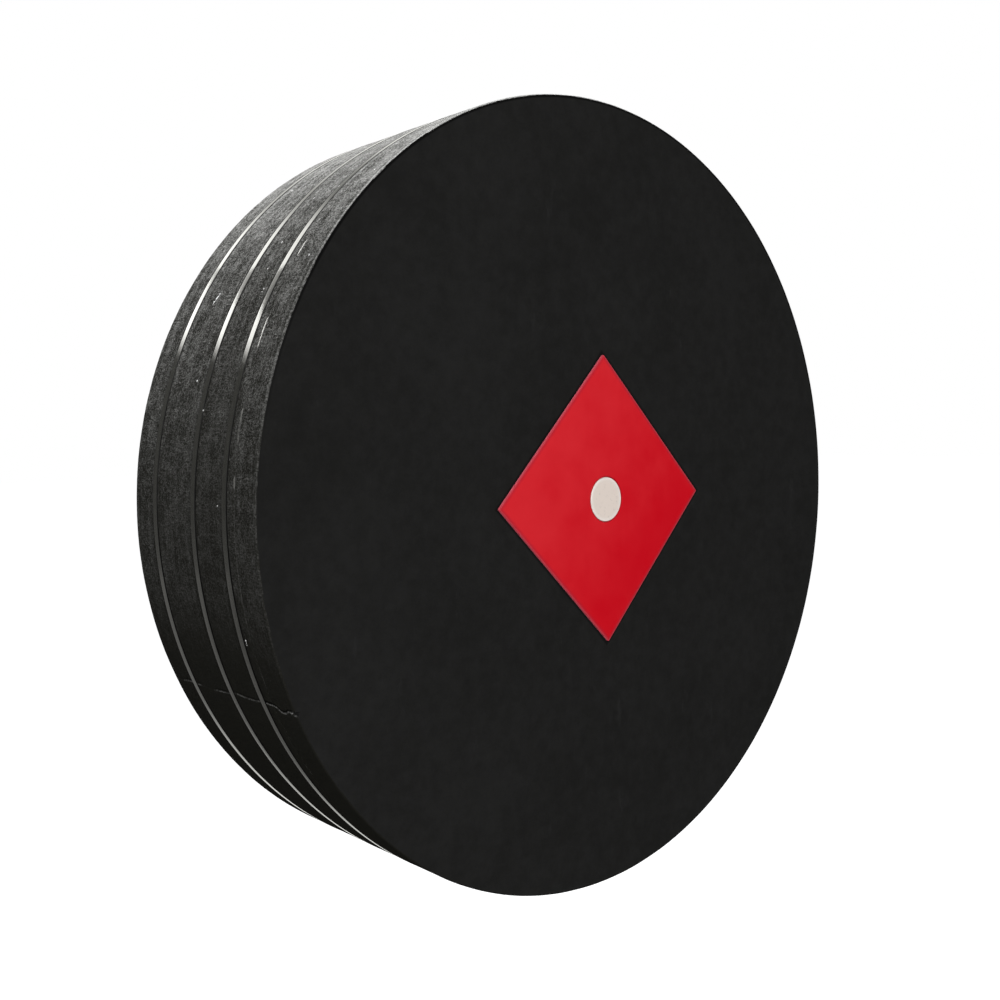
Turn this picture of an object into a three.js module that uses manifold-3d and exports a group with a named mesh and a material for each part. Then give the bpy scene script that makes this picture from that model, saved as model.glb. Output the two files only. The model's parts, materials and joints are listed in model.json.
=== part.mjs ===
// Round archery target boss, laminated from closed-cell foam and bound with three straps.
//
// Foam discs are stacked along Y with a film of glue in each joint. Three plastic straps run round the
// rim, one over each joint between the thick discs. They are drawn so tight that they lie flush, in
// seats that they press into the foam. The rim is sawn, and the saw left a line across it and a nick
// in the front edge. A red diamond with a white dot let into it is stuck to the front face.
//
// Units are millimetres, +Z is up and the archer stands towards -Y.
// The origin is the centre of the back face.

import * as THREE from 'three';
import { mergeVertices } from 'three/addons/utils/BufferGeometryUtils.js';
import Module from 'manifold-3d';

const wasm = await Module();
wasm.setup();

// Overall size
const bossDiameter = 800;

// Foam discs, from the front face to the back face
const frontSheetThickness = 35;
const backingSheetThickness = 16;
const secondSlabThickness = 55;
const thirdSlabThickness = 73;
const backSlabThickness = 41;
const faceEdgeRadius = 2;

// Glue between them, which stops short of the rim
const glueThickness = 0.5;
const glueSetback = 1;
const creaseBevel = 0.8;

// Straps: the foam swells up again beside them in a rounded shoulder
const strapWidth = 8;
const strapThickness = 0.7;
const strapSetback = 0.1;
const strapSeatClearance = 0.3;
const strapSideClearance = 0.4;
const strapEdgeBevel = 0.2;
const shoulderWidth = 1.6;

// Welded overlap of each strap's two ends, on the side away from the saw line
const strapOverlap = 35;
const frontStrapJointDegrees = 316;
const middleStrapJointDegrees = 321;
const backStrapJointDegrees = 318;

// Saw line across the rim and the nick where it meets the front edge, from +X towards +Z
const sawLineDegrees = 202.2;
const sawLineWidth = 1.6;
const sawLineDepth = 1;
const nickRadius = 2.5;
const nickLength = 9;

// Aiming mark
const diamondHalfDiagonal = 147;
const diamondThickness = 2.5;
const diamondCornerRadius = 1.5;
const markEdgeRound = 0.3;
const adhesiveThickness = 0.5;
const adhesiveInset = 1;
const dotDiameter = 45;
const dotClearance = 0.4;

// Bare ring of the front face, outside the mark, where a paper face is pinned
const pinningRingClearance = 3;

// Overrun of the tools that cut
const cutOverrun = 5;

// Facets
const rimSteps = 96;
const edgeRoundSteps = 3;
const shoulderSteps = 3;
const overlapSteps = 4;
const nickSides = 6;
const dotSteps = 48;
const cornerSteps = 4;
const markEdgeSteps = 2;

const bossRadius = bossDiameter / 2;
const strapOuterRadius = bossRadius - strapSetback;
const strapInnerRadius = strapOuterRadius - strapThickness;
const strapSeatRadius = strapInnerRadius - strapSeatClearance;
const pinningRingRadius = diamondHalfDiagonal + pinningRingClearance;
const quarterTurn = Math.PI / 2;

// Materials

const foam = new THREE.MeshStandardMaterial({ color: 0x1e1e1d, roughness: 0.95, metalness: 0 });
const glue = new THREE.MeshStandardMaterial({ color: 0x3a3a36, roughness: 0.35, metalness: 0 });
const strap = new THREE.MeshStandardMaterial({ color: 0x30302e, roughness: 0.15, metalness: 0 });
const redSheet = new THREE.MeshStandardMaterial({ color: 0xc5161f, roughness: 0.5, metalness: 0 });
const whiteSheet = new THREE.MeshStandardMaterial({ color: 0xd8cdc4, roughness: 0.6, metalness: 0 });
const adhesive = new THREE.MeshStandardMaterial({ color: 0xb9a98f, roughness: 0.4, metalness: 0 });

// Boolean cuts and joins

function toSolid(geometry) {
  const bare = geometry.clone();
  bare.deleteAttribute('normal');
  bare.deleteAttribute('uv');
  const merged = mergeVertices(bare);
  const index = merged.index.array;
  const triangles = [];
  for (let i = 0; i < index.length; i += 3) {
    const [a, b, c] = [index[i], index[i + 1], index[i + 2]];
    if (a !== b && b !== c && c !== a) triangles.push(a, b, c);
  }
  return new wasm.Manifold(new wasm.Mesh({
    numProp: 3,
    vertProperties: new Float32Array(merged.attributes.position.array),
    triVerts: new Uint32Array(triangles),
  }));
}

function toGeometry(solid) {
  const mesh = solid.getMesh();
  const geometry = new THREE.BufferGeometry();
  geometry.setAttribute('position', new THREE.BufferAttribute(mesh.vertProperties, 3));
  geometry.setIndex(new THREE.BufferAttribute(mesh.triVerts, 1));
  geometry.computeVertexNormals();
  return geometry;
}

function cut(body, ...tools) {
  const solid = tools.reduce((left, tool) => left.subtract(toSolid(tool)), toSolid(body));
  return toGeometry(solid);
}

function join(body, piece) {
  return toGeometry(toSolid(body).add(toSolid(piece)));
}

// Flat outlines. An outline is drawn as seen by the archer and extruded away from them, along +Y.

function uprightExtrusion(shape, thickness, curveSegments, edgeRound) {
  const geometry = new THREE.ExtrudeGeometry(shape, {
    depth: thickness - 2 * edgeRound,
    curveSegments,
    bevelEnabled: edgeRound > 0,
    bevelThickness: edgeRound,
    bevelSize: edgeRound,
    bevelOffset: -edgeRound,
    bevelSegments: markEdgeSteps,
  });
  geometry.rotateX(quarterTurn);
  geometry.translate(0, thickness - edgeRound, 0);
  return geometry;
}

// Turns a geometry that was made at +X to its place on the rim.
function swingTo(geometry, degrees) {
  geometry.rotateY(-THREE.MathUtils.degToRad(degrees));
  return geometry;
}

// Edges of turned discs, as points (radius, depth) from the flat front face to the rim

// Quarter round, for an outer face.
function roundEdge(radius, round, steps) {
  const points = [];
  for (let step = 0; step <= steps; step += 1) {
    const angle = (step / steps) * quarterTurn;
    const x = radius - round * (1 - Math.sin(angle));
    const y = round * (1 - Math.cos(angle));
    points.push(new THREE.Vector2(x, y));
  }
  return points;
}

// Bevel, for the joint that no strap covers: two of them make the fine crease on the rim.
function creaseEdge() {
  return [
    new THREE.Vector2(bossRadius - creaseBevel, 0),
    new THREE.Vector2(bossRadius, creaseBevel),
  ];
}

// Half of a strap's seat, with its shoulder, for a joint that a strap covers.
function strapSeatEdge() {
  const seatDepth = bossRadius - strapSeatRadius;
  const seatHalfWidth = (strapWidth - glueThickness) / 2 + strapSideClearance;
  const points = [new THREE.Vector2(strapSeatRadius, 0)];
  for (let step = 0; step <= shoulderSteps; step += 1) {
    const angle = (step / shoulderSteps) * quarterTurn;
    const x = strapSeatRadius + seatDepth * Math.sin(angle);
    const y = seatHalfWidth + shoulderWidth * (1 - Math.cos(angle));
    points.push(new THREE.Vector2(x, y));
  }
  return points;
}

// Turned discs

function turnedDisc(profileEdge, thickness, steps) {
  const profile = [new THREE.Vector2(0, 0), ...profileEdge, new THREE.Vector2(0, thickness)];
  return new THREE.LatheGeometry(profile, steps);
}

// V groove of the saw line across a disc of this thickness.
function sawLineTool(thickness) {
  const flare = (sawLineWidth / 2) * (1 + cutOverrun / sawLineDepth);
  const outline = new THREE.Shape();
  outline.moveTo(bossRadius - sawLineDepth, 0);
  outline.lineTo(bossRadius + cutOverrun, -flare);
  outline.lineTo(bossRadius + cutOverrun, flare);
  outline.closePath();
  const tool = uprightExtrusion(outline, thickness + 2 * cutOverrun, 1, 0);
  tool.translate(0, -cutOverrun, 0);
  return swingTo(tool, sawLineDegrees);
}

// Nick in the front edge: a cone that narrows along the saw line.
function nickTool() {
  const height = nickLength + cutOverrun;
  const baseRadius = nickRadius * (height / nickLength);
  const tool = new THREE.ConeGeometry(baseRadius, height, nickSides);
  tool.translate(bossRadius, height / 2 - cutOverrun, 0);
  return swingTo(tool, sawLineDegrees);
}

// Foam disc with the edge that each of its two faces needs, and the saw line across its rim.
function foamDisc(thickness, frontEdge, backEdge, ...moreTools) {
  const mirrored = backEdge.map((point) => new THREE.Vector2(point.x, thickness - point.y));
  const disc = turnedDisc([...frontEdge, ...mirrored.reverse()], thickness, rimSteps);
  return cut(disc, sawLineTool(thickness), ...moreTools);
}

function glueDisc(radius) {
  const edge = [new THREE.Vector2(radius, 0), new THREE.Vector2(radius, glueThickness)];
  return turnedDisc(edge, glueThickness, rimSteps);
}

// Strap: a flat band with bevelled outer edges, and the outer end welded over the inner one.
function strapRing(jointDegrees) {
  const band = new THREE.LatheGeometry([
    new THREE.Vector2(strapInnerRadius, 0),
    new THREE.Vector2(strapOuterRadius - strapEdgeBevel, 0),
    new THREE.Vector2(strapOuterRadius, strapEdgeBevel),
    new THREE.Vector2(strapOuterRadius, strapWidth - strapEdgeBevel),
    new THREE.Vector2(strapOuterRadius - strapEdgeBevel, strapWidth),
    new THREE.Vector2(strapInnerRadius, strapWidth),
    new THREE.Vector2(strapInnerRadius, 0),
  ], rimSteps);
  const middleRadius = (strapInnerRadius + strapOuterRadius) / 2;
  const tailRadius = strapOuterRadius + strapThickness;
  const halfAngle = strapOverlap / bossRadius / 2;
  const outline = new THREE.Shape();
  outline.absarc(0, 0, tailRadius, -halfAngle, halfAngle, false);
  outline.absarc(0, 0, middleRadius, halfAngle, -halfAngle, true);
  outline.closePath();
  const tail = uprightExtrusion(outline, strapWidth, overlapSteps, 0);
  return join(band, swingTo(tail, jointDegrees));
}

// Pieces

function addPiece(parent, name, geometry, material, y) {
  const piece = new THREE.Mesh(geometry, material);
  piece.name = name;
  piece.position.y = y;
  parent.add(piece);
}

// The stack, from the front face to the back face. A glue film may carry a strap over it.
function laminatedLayers() {
  const face = roundEdge(bossRadius, faceEdgeRadius, edgeRoundSteps);
  const shotFace = [new THREE.Vector2(pinningRingRadius, 0), ...face];
  const crease = creaseEdge();
  const seat = strapSeatEdge();
  const creaseGlue = () => glueDisc(bossRadius - glueSetback);
  const seatGlue = () => glueDisc(strapSeatRadius - glueSetback);
  return [
    {
      name: 'front_foam_sheet',
      thickness: frontSheetThickness,
      geometry: foamDisc(frontSheetThickness, shotFace, crease, nickTool()),
      material: foam,
    },
    {
      name: 'front_sheet_glue',
      thickness: glueThickness,
      geometry: creaseGlue(),
      material: glue,
    },
    {
      name: 'front_backing_sheet',
      thickness: backingSheetThickness,
      geometry: foamDisc(backingSheetThickness, crease, seat),
      material: foam,
    },
    {
      name: 'front_joint_glue',
      thickness: glueThickness,
      geometry: seatGlue(),
      material: glue,
      strapName: 'front_rim_strap',
      strapJointDegrees: frontStrapJointDegrees,
    },
    {
      name: 'second_foam_slab',
      thickness: secondSlabThickness,
      geometry: foamDisc(secondSlabThickness, seat, seat),
      material: foam,
    },
    {
      name: 'middle_joint_glue',
      thickness: glueThickness,
      geometry: seatGlue(),
      material: glue,
      strapName: 'middle_rim_strap',
      strapJointDegrees: middleStrapJointDegrees,
    },
    {
      name: 'third_foam_slab',
      thickness: thirdSlabThickness,
      geometry: foamDisc(thirdSlabThickness, seat, seat),
      material: foam,
    },
    {
      name: 'back_joint_glue',
      thickness: glueThickness,
      geometry: seatGlue(),
      material: glue,
      strapName: 'back_rim_strap',
      strapJointDegrees: backStrapJointDegrees,
    },
    {
      name: 'back_foam_slab',
      thickness: backSlabThickness,
      geometry: foamDisc(backSlabThickness, seat, face),
      material: foam,
    },
  ];
}

// Places each layer against the one before it, and each strap over the middle of its joint.
// Gives back the depth of the whole stack.
function addStack(parent) {
  const layers = laminatedLayers();
  const depth = layers.reduce((sum, layer) => sum + layer.thickness, 0);
  let y = -depth;
  for (const layer of layers) {
    addPiece(parent, layer.name, layer.geometry, layer.material, y);
    if (layer.strapName) {
      const strapY = y + (layer.thickness - strapWidth) / 2;
      addPiece(parent, layer.strapName, strapRing(layer.strapJointDegrees), strap, strapY);
    }
    y += layer.thickness;
  }
  return depth;
}

// Square standing on its corner, with each corner rounded.
function diamondShape(halfDiagonal, cornerRadius) {
  const shape = new THREE.Shape();
  const arcCentre = halfDiagonal - cornerRadius * Math.SQRT2;
  for (let corner = 0; corner < 4; corner += 1) {
    const angle = corner * quarterTurn;
    const x = arcCentre * Math.cos(angle);
    const y = arcCentre * Math.sin(angle);
    shape.absarc(x, y, cornerRadius, angle - quarterTurn / 2, angle + quarterTurn / 2, false);
  }
  shape.closePath();
  return shape;
}

// The dot lies flush in a round hole through the diamond, and one adhesive sheet holds both.
function addAimingMark(parent, frontFaceY) {
  const adhesiveHalfDiagonal = diamondHalfDiagonal - adhesiveInset * Math.SQRT2;
  const adhesiveSheet = uprightExtrusion(
    diamondShape(adhesiveHalfDiagonal, diamondCornerRadius),
    adhesiveThickness,
    cornerSteps,
    0,
  );
  const adhesiveY = frontFaceY - adhesiveThickness;
  addPiece(parent, 'mark_adhesive', adhesiveSheet, adhesive, adhesiveY);

  const redDiamond = uprightExtrusion(
    diamondShape(diamondHalfDiagonal, diamondCornerRadius),
    diamondThickness,
    cornerSteps,
    markEdgeRound,
  );
  const holeRadius = dotDiameter / 2 + dotClearance;
  const holeDepth = diamondThickness + 2 * cutOverrun;
  const hole = new THREE.CylinderGeometry(holeRadius, holeRadius, holeDepth, dotSteps);
  hole.translate(0, diamondThickness / 2, 0);
  const markY = adhesiveY - diamondThickness;
  addPiece(parent, 'aiming_diamond', cut(redDiamond, hole), redSheet, markY);

  const dotEdge = roundEdge(dotDiameter / 2, markEdgeRound, markEdgeSteps);
  const dotBack = new THREE.Vector2(dotDiameter / 2, diamondThickness);
  const dot = turnedDisc([...dotEdge, dotBack], diamondThickness, dotSteps);
  addPiece(parent, 'aiming_dot', dot, whiteSheet, markY);
}

const boss = new THREE.Group();
const stackDepth = addStack(boss);
addAimingMark(boss, -stackDepth);

export default boss;
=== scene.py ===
# %% [markdown]
# # A laminated foam target boss
#
# The boss is a thick round block that arrows stop in. Five discs of black closed-cell foam are glued face
# to face, sawn round, and bound with three plastic straps that are drawn flush into the rim. A thin red
# diamond with a white dot let into it is stuck to the front.
#
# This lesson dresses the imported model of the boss. The model fixes every size and place. Here each piece
# gets its fine surface: cut foam with its grain, a saw line, polished straps, glue, and wear.

import json
import math

import bpy
import numpy as np
from mathutils import Matrix, Vector

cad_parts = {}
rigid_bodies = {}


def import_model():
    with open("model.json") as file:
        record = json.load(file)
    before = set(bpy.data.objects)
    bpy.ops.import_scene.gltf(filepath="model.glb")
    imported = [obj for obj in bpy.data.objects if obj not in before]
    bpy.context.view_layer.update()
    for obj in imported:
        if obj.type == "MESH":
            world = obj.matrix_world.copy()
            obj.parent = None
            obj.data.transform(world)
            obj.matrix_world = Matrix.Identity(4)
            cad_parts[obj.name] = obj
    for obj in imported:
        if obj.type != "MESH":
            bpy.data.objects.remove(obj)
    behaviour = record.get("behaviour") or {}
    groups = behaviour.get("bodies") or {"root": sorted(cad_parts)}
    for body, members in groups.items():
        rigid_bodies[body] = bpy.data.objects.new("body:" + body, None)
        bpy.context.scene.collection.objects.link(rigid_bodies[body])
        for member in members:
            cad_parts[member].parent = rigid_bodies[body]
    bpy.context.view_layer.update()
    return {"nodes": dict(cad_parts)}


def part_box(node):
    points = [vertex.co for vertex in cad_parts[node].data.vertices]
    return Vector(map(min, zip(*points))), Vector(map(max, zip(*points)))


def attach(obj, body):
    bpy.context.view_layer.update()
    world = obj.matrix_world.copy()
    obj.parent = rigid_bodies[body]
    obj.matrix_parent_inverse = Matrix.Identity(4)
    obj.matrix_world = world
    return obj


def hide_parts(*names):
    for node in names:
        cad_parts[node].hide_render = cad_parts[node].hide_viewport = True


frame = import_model()
nodes = frame["nodes"]
scene = bpy.context.scene

# %% [markdown]
# ## Sizes
#
# Everything is in metres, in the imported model's frame: the axis of the boss is Y, the archer stands
# towards -Y, and +Z is up. What the model already knows is measured on it, so that nothing is typed twice.

# %% Measure the model
MM = 0.001
SAME_PLACE = 0.01 * MM
STRAP_NODES = ("front_rim_strap", "middle_rim_strap", "back_rim_strap")


def depth_range(node):
    """The lowest and highest Y of a node."""
    low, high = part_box(node)
    return low.y, high.y


def middle_depth(node):
    """The Y half-way through a node."""
    return sum(depth_range(node)) / 2


def radii(node, depth=None):
    """How far a node's points are from the axis: all of them, or those at one depth."""
    points = np.array([vertex.co for vertex in nodes[node].data.vertices])
    if depth is not None:
        points = points[np.abs(points[:, 1] - depth) < SAME_PLACE]
    return np.hypot(points[:, 0], points[:, 2])


BOSS_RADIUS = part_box("front_backing_sheet")[1].x
FRONT_Y, CREASE_Y = depth_range("front_foam_sheet")
SEAT_RADIUS = radii("second_foam_slab", depth_range("second_foam_slab")[0]).max()
STRAP_INNER_RADIUS = radii("front_rim_strap").min()
STRAP_WIDTH = depth_range("front_rim_strap")[1] - depth_range("front_rim_strap")[0]
HALF_JOINT = (depth_range("second_foam_slab")[0] - depth_range("front_backing_sheet")[1]) / 2
DIAMOND_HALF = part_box("aiming_diamond")[1].x
DIAMOND_FRONT_Y, DIAMOND_BACK_Y = depth_range("aiming_diamond")
HOLE_RADIUS = radii("aiming_diamond").min()
DOT_RADIUS = radii("aiming_dot").max()
print(f"boss radius {BOSS_RADIUS / MM:.1f}, seats {SEAT_RADIUS / MM:.1f} mm")
print(f"straps {STRAP_WIDTH / MM:.1f} mm wide")

# %% [markdown]
# ## Node trees as Python
#
# Both the materials and the generated shapes are node trees. A tree that is clicked together is hard to
# read in a script, so one small class wraps an output socket and lets Python's operators add the Math
# nodes, and another adds any other node in one call.


# %% Wires
class Wire:
    """An output socket of a node tree. Arithmetic on it adds Math nodes."""

    def __init__(self, tree, socket):
        self.tree = tree
        self.socket = socket

    def __getitem__(self, name):
        return Wire(self.tree, self.socket.node.outputs[name])

    def __add__(self, other):
        return self.tree.maths("ADD", self, other)

    __radd__ = __add__

    def __sub__(self, other):
        return self.tree.maths("SUBTRACT", self, other)

    def __rsub__(self, other):
        return self.tree.maths("SUBTRACT", other, self)

    def __mul__(self, other):
        return self.tree.maths("MULTIPLY", self, other)

    __rmul__ = __mul__

    def __truediv__(self, other):
        return self.tree.maths("DIVIDE", self, other)

    def __rtruediv__(self, other):
        return self.tree.maths("DIVIDE", other, self)

    def __abs__(self):
        return self.tree.maths("ABSOLUTE", self)

    def ease(self, start, end):
        """0 up to start and 1 from end on, with a smooth way between. With start above end it falls."""
        return self.tree.add(
            "ShaderNodeMapRange",
            {"interpolation_type": "SMOOTHSTEP"},
            {"Value": self, "From Min": start, "From Max": end},
        )


# %% Trees
class Tree:
    """Adds nodes to a node tree and links them."""

    def __init__(self, title, node_tree):
        self.title = title
        self.node_tree = node_tree

    def add(self, kind, settings=None, values=None):
        """One node: its settings first, then a value or a Wire for each socket, by name or place."""
        node = self.node_tree.nodes.new(kind)
        for name, setting in (settings or {}).items():
            if name == "curve":
                self.bend(node.mapping, setting)
            else:
                setattr(node, name, setting)
        in_use = [socket for socket in node.inputs if socket.enabled]
        for key, value in (values or {}).items():
            socket = in_use[key] if isinstance(key, int) else next(s for s in in_use if s.name == key)
            if isinstance(value, Wire):
                self.node_tree.links.new(value.socket, socket)
            else:
                socket.default_value = value
        return Wire(self, next((socket for socket in node.outputs if socket.enabled), None))

    def bend(self, mapping, points):
        """Gives a curve widget these points."""
        line = mapping.curves[0]
        line.points[0].location = points[0]
        line.points[-1].location = points[-1]
        for point in points[1:-1]:
            line.points.new(*point)
        mapping.update()

    def curve(self, points, value):
        """What a curve through these points makes of a value from 0 to 1."""
        return self.add("ShaderNodeFloatCurve", {"curve": points}, {"Value": value})

    def maths(self, operation, *values):
        return self.add("ShaderNodeMath", {"operation": operation}, dict(enumerate(values)))

    def vector(self, operation, *values):
        return self.add("ShaderNodeVectorMath", {"operation": operation}, dict(enumerate(values)))

    def split(self, vector):
        parts = self.add("ShaderNodeSeparateXYZ", {}, {"Vector": vector})
        return parts["X"], parts["Y"], parts["Z"]

    def join(self, x, y, z):
        return self.add("ShaderNodeCombineXYZ", {}, {"X": x, "Y": y, "Z": z})

    def stretch(self, spot, x, y, z):
        """A place with its parts multiplied. A pattern read there is long where the factor is small."""
        return self.vector("MULTIPLY", spot, (x, y, z))

    def from_axis(self, spot):
        """How far a place is from the axis of the boss."""
        return self.vector("LENGTH", self.stretch(spot, 1, 0, 1))

    def noise(self, vector, size, detail=2.0, roughness=0.5):
        """Noise from 0 to 1 whose features are about this size in metres."""
        return self.add(
            "ShaderNodeTexNoise",
            {},
            {"Vector": vector, "Scale": 1 / size, "Detail": detail, "Roughness": roughness},
        )

    def mix(self, factor, first, second):
        """The first colour where the factor is 0, and the second where it is 1."""
        return self.add("ShaderNodeMix", {"data_type": "RGBA"}, {"Factor": factor, "A": first, "B": second})

    def moved(self, mesh, offset):
        return self.add("GeometryNodeSetPosition", {}, {"Geometry": mesh, "Offset": offset})

    def pressed_in(self, mesh, spot, depth):
        """A mesh whose points have moved towards the axis by a depth."""
        way_in = self.vector("NORMALIZE", self.stretch(spot, -1, 0, -1))
        return self.moved(mesh, self.vector("SCALE", way_in, depth))


# %% [markdown]
# ## Camera
#
# The camera stands in front of the boss, to the archer's left and a little above the middle, less than a
# metre from the face. From so near the round face looks egg-shaped, and the rim falls away steeply. Its
# place, its aim and its roll come from fitting a camera to the outline of the face and the diamond.

# %% Make the camera
CAMERA_PLACE = Vector((-0.82744, -0.98767, 0.08393))
CAMERA_AIM = Vector((-0.14295, -0.2220, 0.00881))
CAMERA_ROLL_DEGREES = 1.446
SENSOR_MM = 36
LENS_PIXELS = 1099.3
PICTURE_PIXELS = 1000
NEAREST = 0.01
FARTHEST = 100

camera = bpy.data.objects.new("camera", bpy.data.cameras.new("camera"))
scene.collection.objects.link(camera)
camera.data.sensor_width = SENSOR_MM
camera.data.lens = SENSOR_MM * LENS_PIXELS / PICTURE_PIXELS
camera.data.clip_start = NEAREST
camera.data.clip_end = FARTHEST
look = (CAMERA_AIM - CAMERA_PLACE).to_track_quat("-Z", "Y").to_matrix().to_4x4()
roll = Matrix.Rotation(math.radians(-CAMERA_ROLL_DEGREES), 4, "Z")
camera.matrix_world = Matrix.Translation(CAMERA_PLACE) @ look @ roll
scene.camera = camera
print(f"lens {camera.data.lens:.1f} mm, {(CAMERA_AIM - CAMERA_PLACE).length:.3f} m to the face")

# %% [markdown]
# ## Studio
#
# The photograph is cut out on white. A boss hangs on its stand with its middle about 1.3 m above the
# ground, so the pale floor lies that far below it, and keeps its shadow there. Rays from the camera, and
# rays that leave polished or clear surfaces, meet white. Everything else is lit by the lamps and by a soft
# grey sky.

# %% Studio helpers
FLOOR_Z = -1.3
FLOOR_HALF_WIDTH = 30
FLOOR_COLOUR = (0.62, 0.62, 0.62, 1)
FLOOR_SHINE = 0.82
SKY_COLOUR = (0.30, 0.30, 0.31, 1)
WHITE = (1, 1, 1, 1)


def seen_directly(tree):
    """1 for rays from the camera, from gloss and through clear things, and 0 for what lights a surface."""
    path = tree.add("ShaderNodeLightPath")
    direct = tree.maths("MAXIMUM", path["Is Camera Ray"], path["Is Glossy Ray"])
    return tree.maths("MAXIMUM", direct, path["Is Transmission Ray"])


def new_material(name):
    """An empty material and its tree."""
    material = bpy.data.materials.new(name)
    material.use_nodes = True
    material.node_tree.nodes.clear()
    return material, Tree(name, material.node_tree)


def sheet_object(name, corners, finish):
    """A flat four-sided sheet."""
    mesh = bpy.data.meshes.new(name)
    mesh.from_pydata(corners, [], [(0, 1, 2, 3)])
    mesh.materials.append(finish)
    sheet = bpy.data.objects.new(name, mesh)
    scene.collection.objects.link(sheet)
    return sheet


def soft_box(name, place, aim, width, height, watts):
    """A rectangular lamp at a place, turned to an aim, that the camera doesn't see."""
    lamp = bpy.data.lights.new(name, "AREA")
    lamp.shape = "RECTANGLE"
    lamp.size = width
    lamp.size_y = height
    lamp.energy = watts
    holder = bpy.data.objects.new(name, lamp)
    holder.location = place
    holder.rotation_mode = "QUATERNION"
    holder.rotation_quaternion = (Vector(aim) - Vector(place)).to_track_quat("-Z", "Y")
    holder.visible_camera = False
    scene.collection.objects.link(holder)
    return holder


# %% Sky and floor
scene.view_settings.view_transform = "Standard"
scene.world = bpy.data.worlds.new("studio")
scene.world.use_nodes = True
scene.world.node_tree.nodes.clear()
sky = Tree("sky", scene.world.node_tree)
sky_light = sky.add("ShaderNodeBackground", {}, {"Color": SKY_COLOUR, "Strength": 1.0})
sky_seen = sky.add("ShaderNodeBackground", {}, {"Color": WHITE, "Strength": 1.0})
sky_mix = sky.add("ShaderNodeMixShader", {}, {0: seen_directly(sky), 1: sky_light, 2: sky_seen})
sky.add("ShaderNodeOutputWorld", {}, {"Surface": sky_mix})

pale_floor, floor_tree = new_material("pale_floor")
floor_matt = floor_tree.add("ShaderNodeBsdfDiffuse", {}, {"Color": FLOOR_COLOUR})
floor_glow = seen_directly(floor_tree) * FLOOR_SHINE
floor_shine = floor_tree.add("ShaderNodeEmission", {}, {"Color": WHITE, "Strength": floor_glow})
floor_both = floor_tree.add("ShaderNodeAddShader", {}, {0: floor_matt, 1: floor_shine})
floor_tree.add("ShaderNodeOutputMaterial", {}, {"Surface": floor_both})
floor_corners = [
    (x * FLOOR_HALF_WIDTH, y * FLOOR_HALF_WIDTH, FLOOR_Z)
    for x, y in ((-1, -1), (1, -1), (1, 1), (-1, 1))
]
floor = sheet_object("floor", floor_corners, pale_floor)
print(f"floor {-FLOOR_Z:.1f} m below the middle of the boss")

# %% [markdown]
# The light comes from above and behind: the top of the rim is nearly white, the left is dark grey and the
# underside black. It comes from a soft box overhead and a long window behind the boss. A big soft box
# beside the camera lights the face, which is turned away from the other two.

# %% Lamps
soft_box(
    "overhead_softbox", place=(-0.35, 0.35, 1.9), aim=(-0.1, -0.05, 0.1), width=1.5, height=1.1, watts=50
)
window_lamp = soft_box(
    "window_behind", place=(-0.53, 2.0, 1.36), aim=(-0.53, 0.0, 1.36), width=1.26, height=0.66, watts=23
)
window_lamp.visible_glossy = False
soft_box("face_softbox", place=(-2.6, -4.4, 2.3), aim=(0.0, -0.2, 0.0), width=2.9, height=2.9, watts=262)
print("lamps:", ", ".join(item.name for item in scene.objects if item.type == "LIGHT"))

# %% [markdown]
# Polished plastic on black foam looks like what it mirrors. Two cards stand in for the room behind the
# boss, a wall and a strip of ground. Only gloss sees them, and their light is a little warm. The wall has
# a window, which the straps mirror as long white glints: brightest low on the left, fading to the right,
# and parted by a bar. Right of its middle the window is brighter below and duller above. Its edges and its
# bar are lines on the wall, so each one is a sum of X and Z that is eased.
#
# A picture of a room in the world would give glints too, but nobody could say which part of it to change
# when one is too long. On a card each edge of the window is a number.

# %% Window in the wall
WINDOW_STRENGTH = 8
WINDOW_SHIFT = 0.575
WINDOW_REACH = 3.2
WINDOW_LEAN = 0.5
SILL_SLOPE = 0.32
WINDOW_SILL = (0.62, 0.89)
WINDOW_HEAD = (2.2, 1.9)
WINDOW_LEFT_EDGE = (-1.6, -1.4)
BAR_X, BAR_Z = 0.447, 0.894
BAR_MIDDLE = 1.048
BAR_START = 1.187
WINDOW_BRIGHTNESS = (
    (0.000, 0.94), (0.125, 0.94), (0.172, 0.825), (0.219, 0.75), (0.266, 0.66), (0.312, 0.60),
    (0.344, 0.55), (0.375, 0.49), (0.406, 0.42), (0.438, 0.30), (0.469, 0.20), (0.500, 0.135),
    (0.531, 0.105), (0.625, 0.110), (0.719, 0.130), (0.812, 0.140), (0.906, 0.120), (1.000, 0.060),
)


def window_light(tree, x, z):
    """How bright the window is at a place on the wall."""
    across = tree.maths("MINIMUM", (x + z * WINDOW_LEAN + WINDOW_SHIFT) / WINDOW_REACH, 1.0)
    light = tree.curve(WINDOW_BRIGHTNESS, across) * WINDOW_STRENGTH
    light = light * (z + x * SILL_SLOPE).ease(*WINDOW_SILL) * z.ease(*WINDOW_HEAD) * x.ease(*WINDOW_LEFT_EDGE)
    right_panes = x.ease(0.0, 0.3) * x.ease(1.0, 0.7)
    dulled_upwards = (z + x * 0.15).ease(1.66, 1.86) * 0.8 - 0.28
    light = light * (1 - right_panes * dulled_upwards)
    from_bar = abs(x * BAR_X + z * BAR_Z - BAR_MIDDLE)
    along_bar = z * BAR_X - x * BAR_Z - BAR_START
    bar_width = tree.maths("MAXIMUM", along_bar * 0.42 + 0.095, 0.02)
    bar_shade = tree.maths("MINIMUM", along_bar * 0.8 + 0.70, 0.9)
    return light * (1 - (from_bar - bar_width).ease(0.05, -0.02) * bar_shade)


# %% Lit ground
GROUND_LEVEL = 0.14
WALL_FOOT_LEVEL = 0.16


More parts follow.
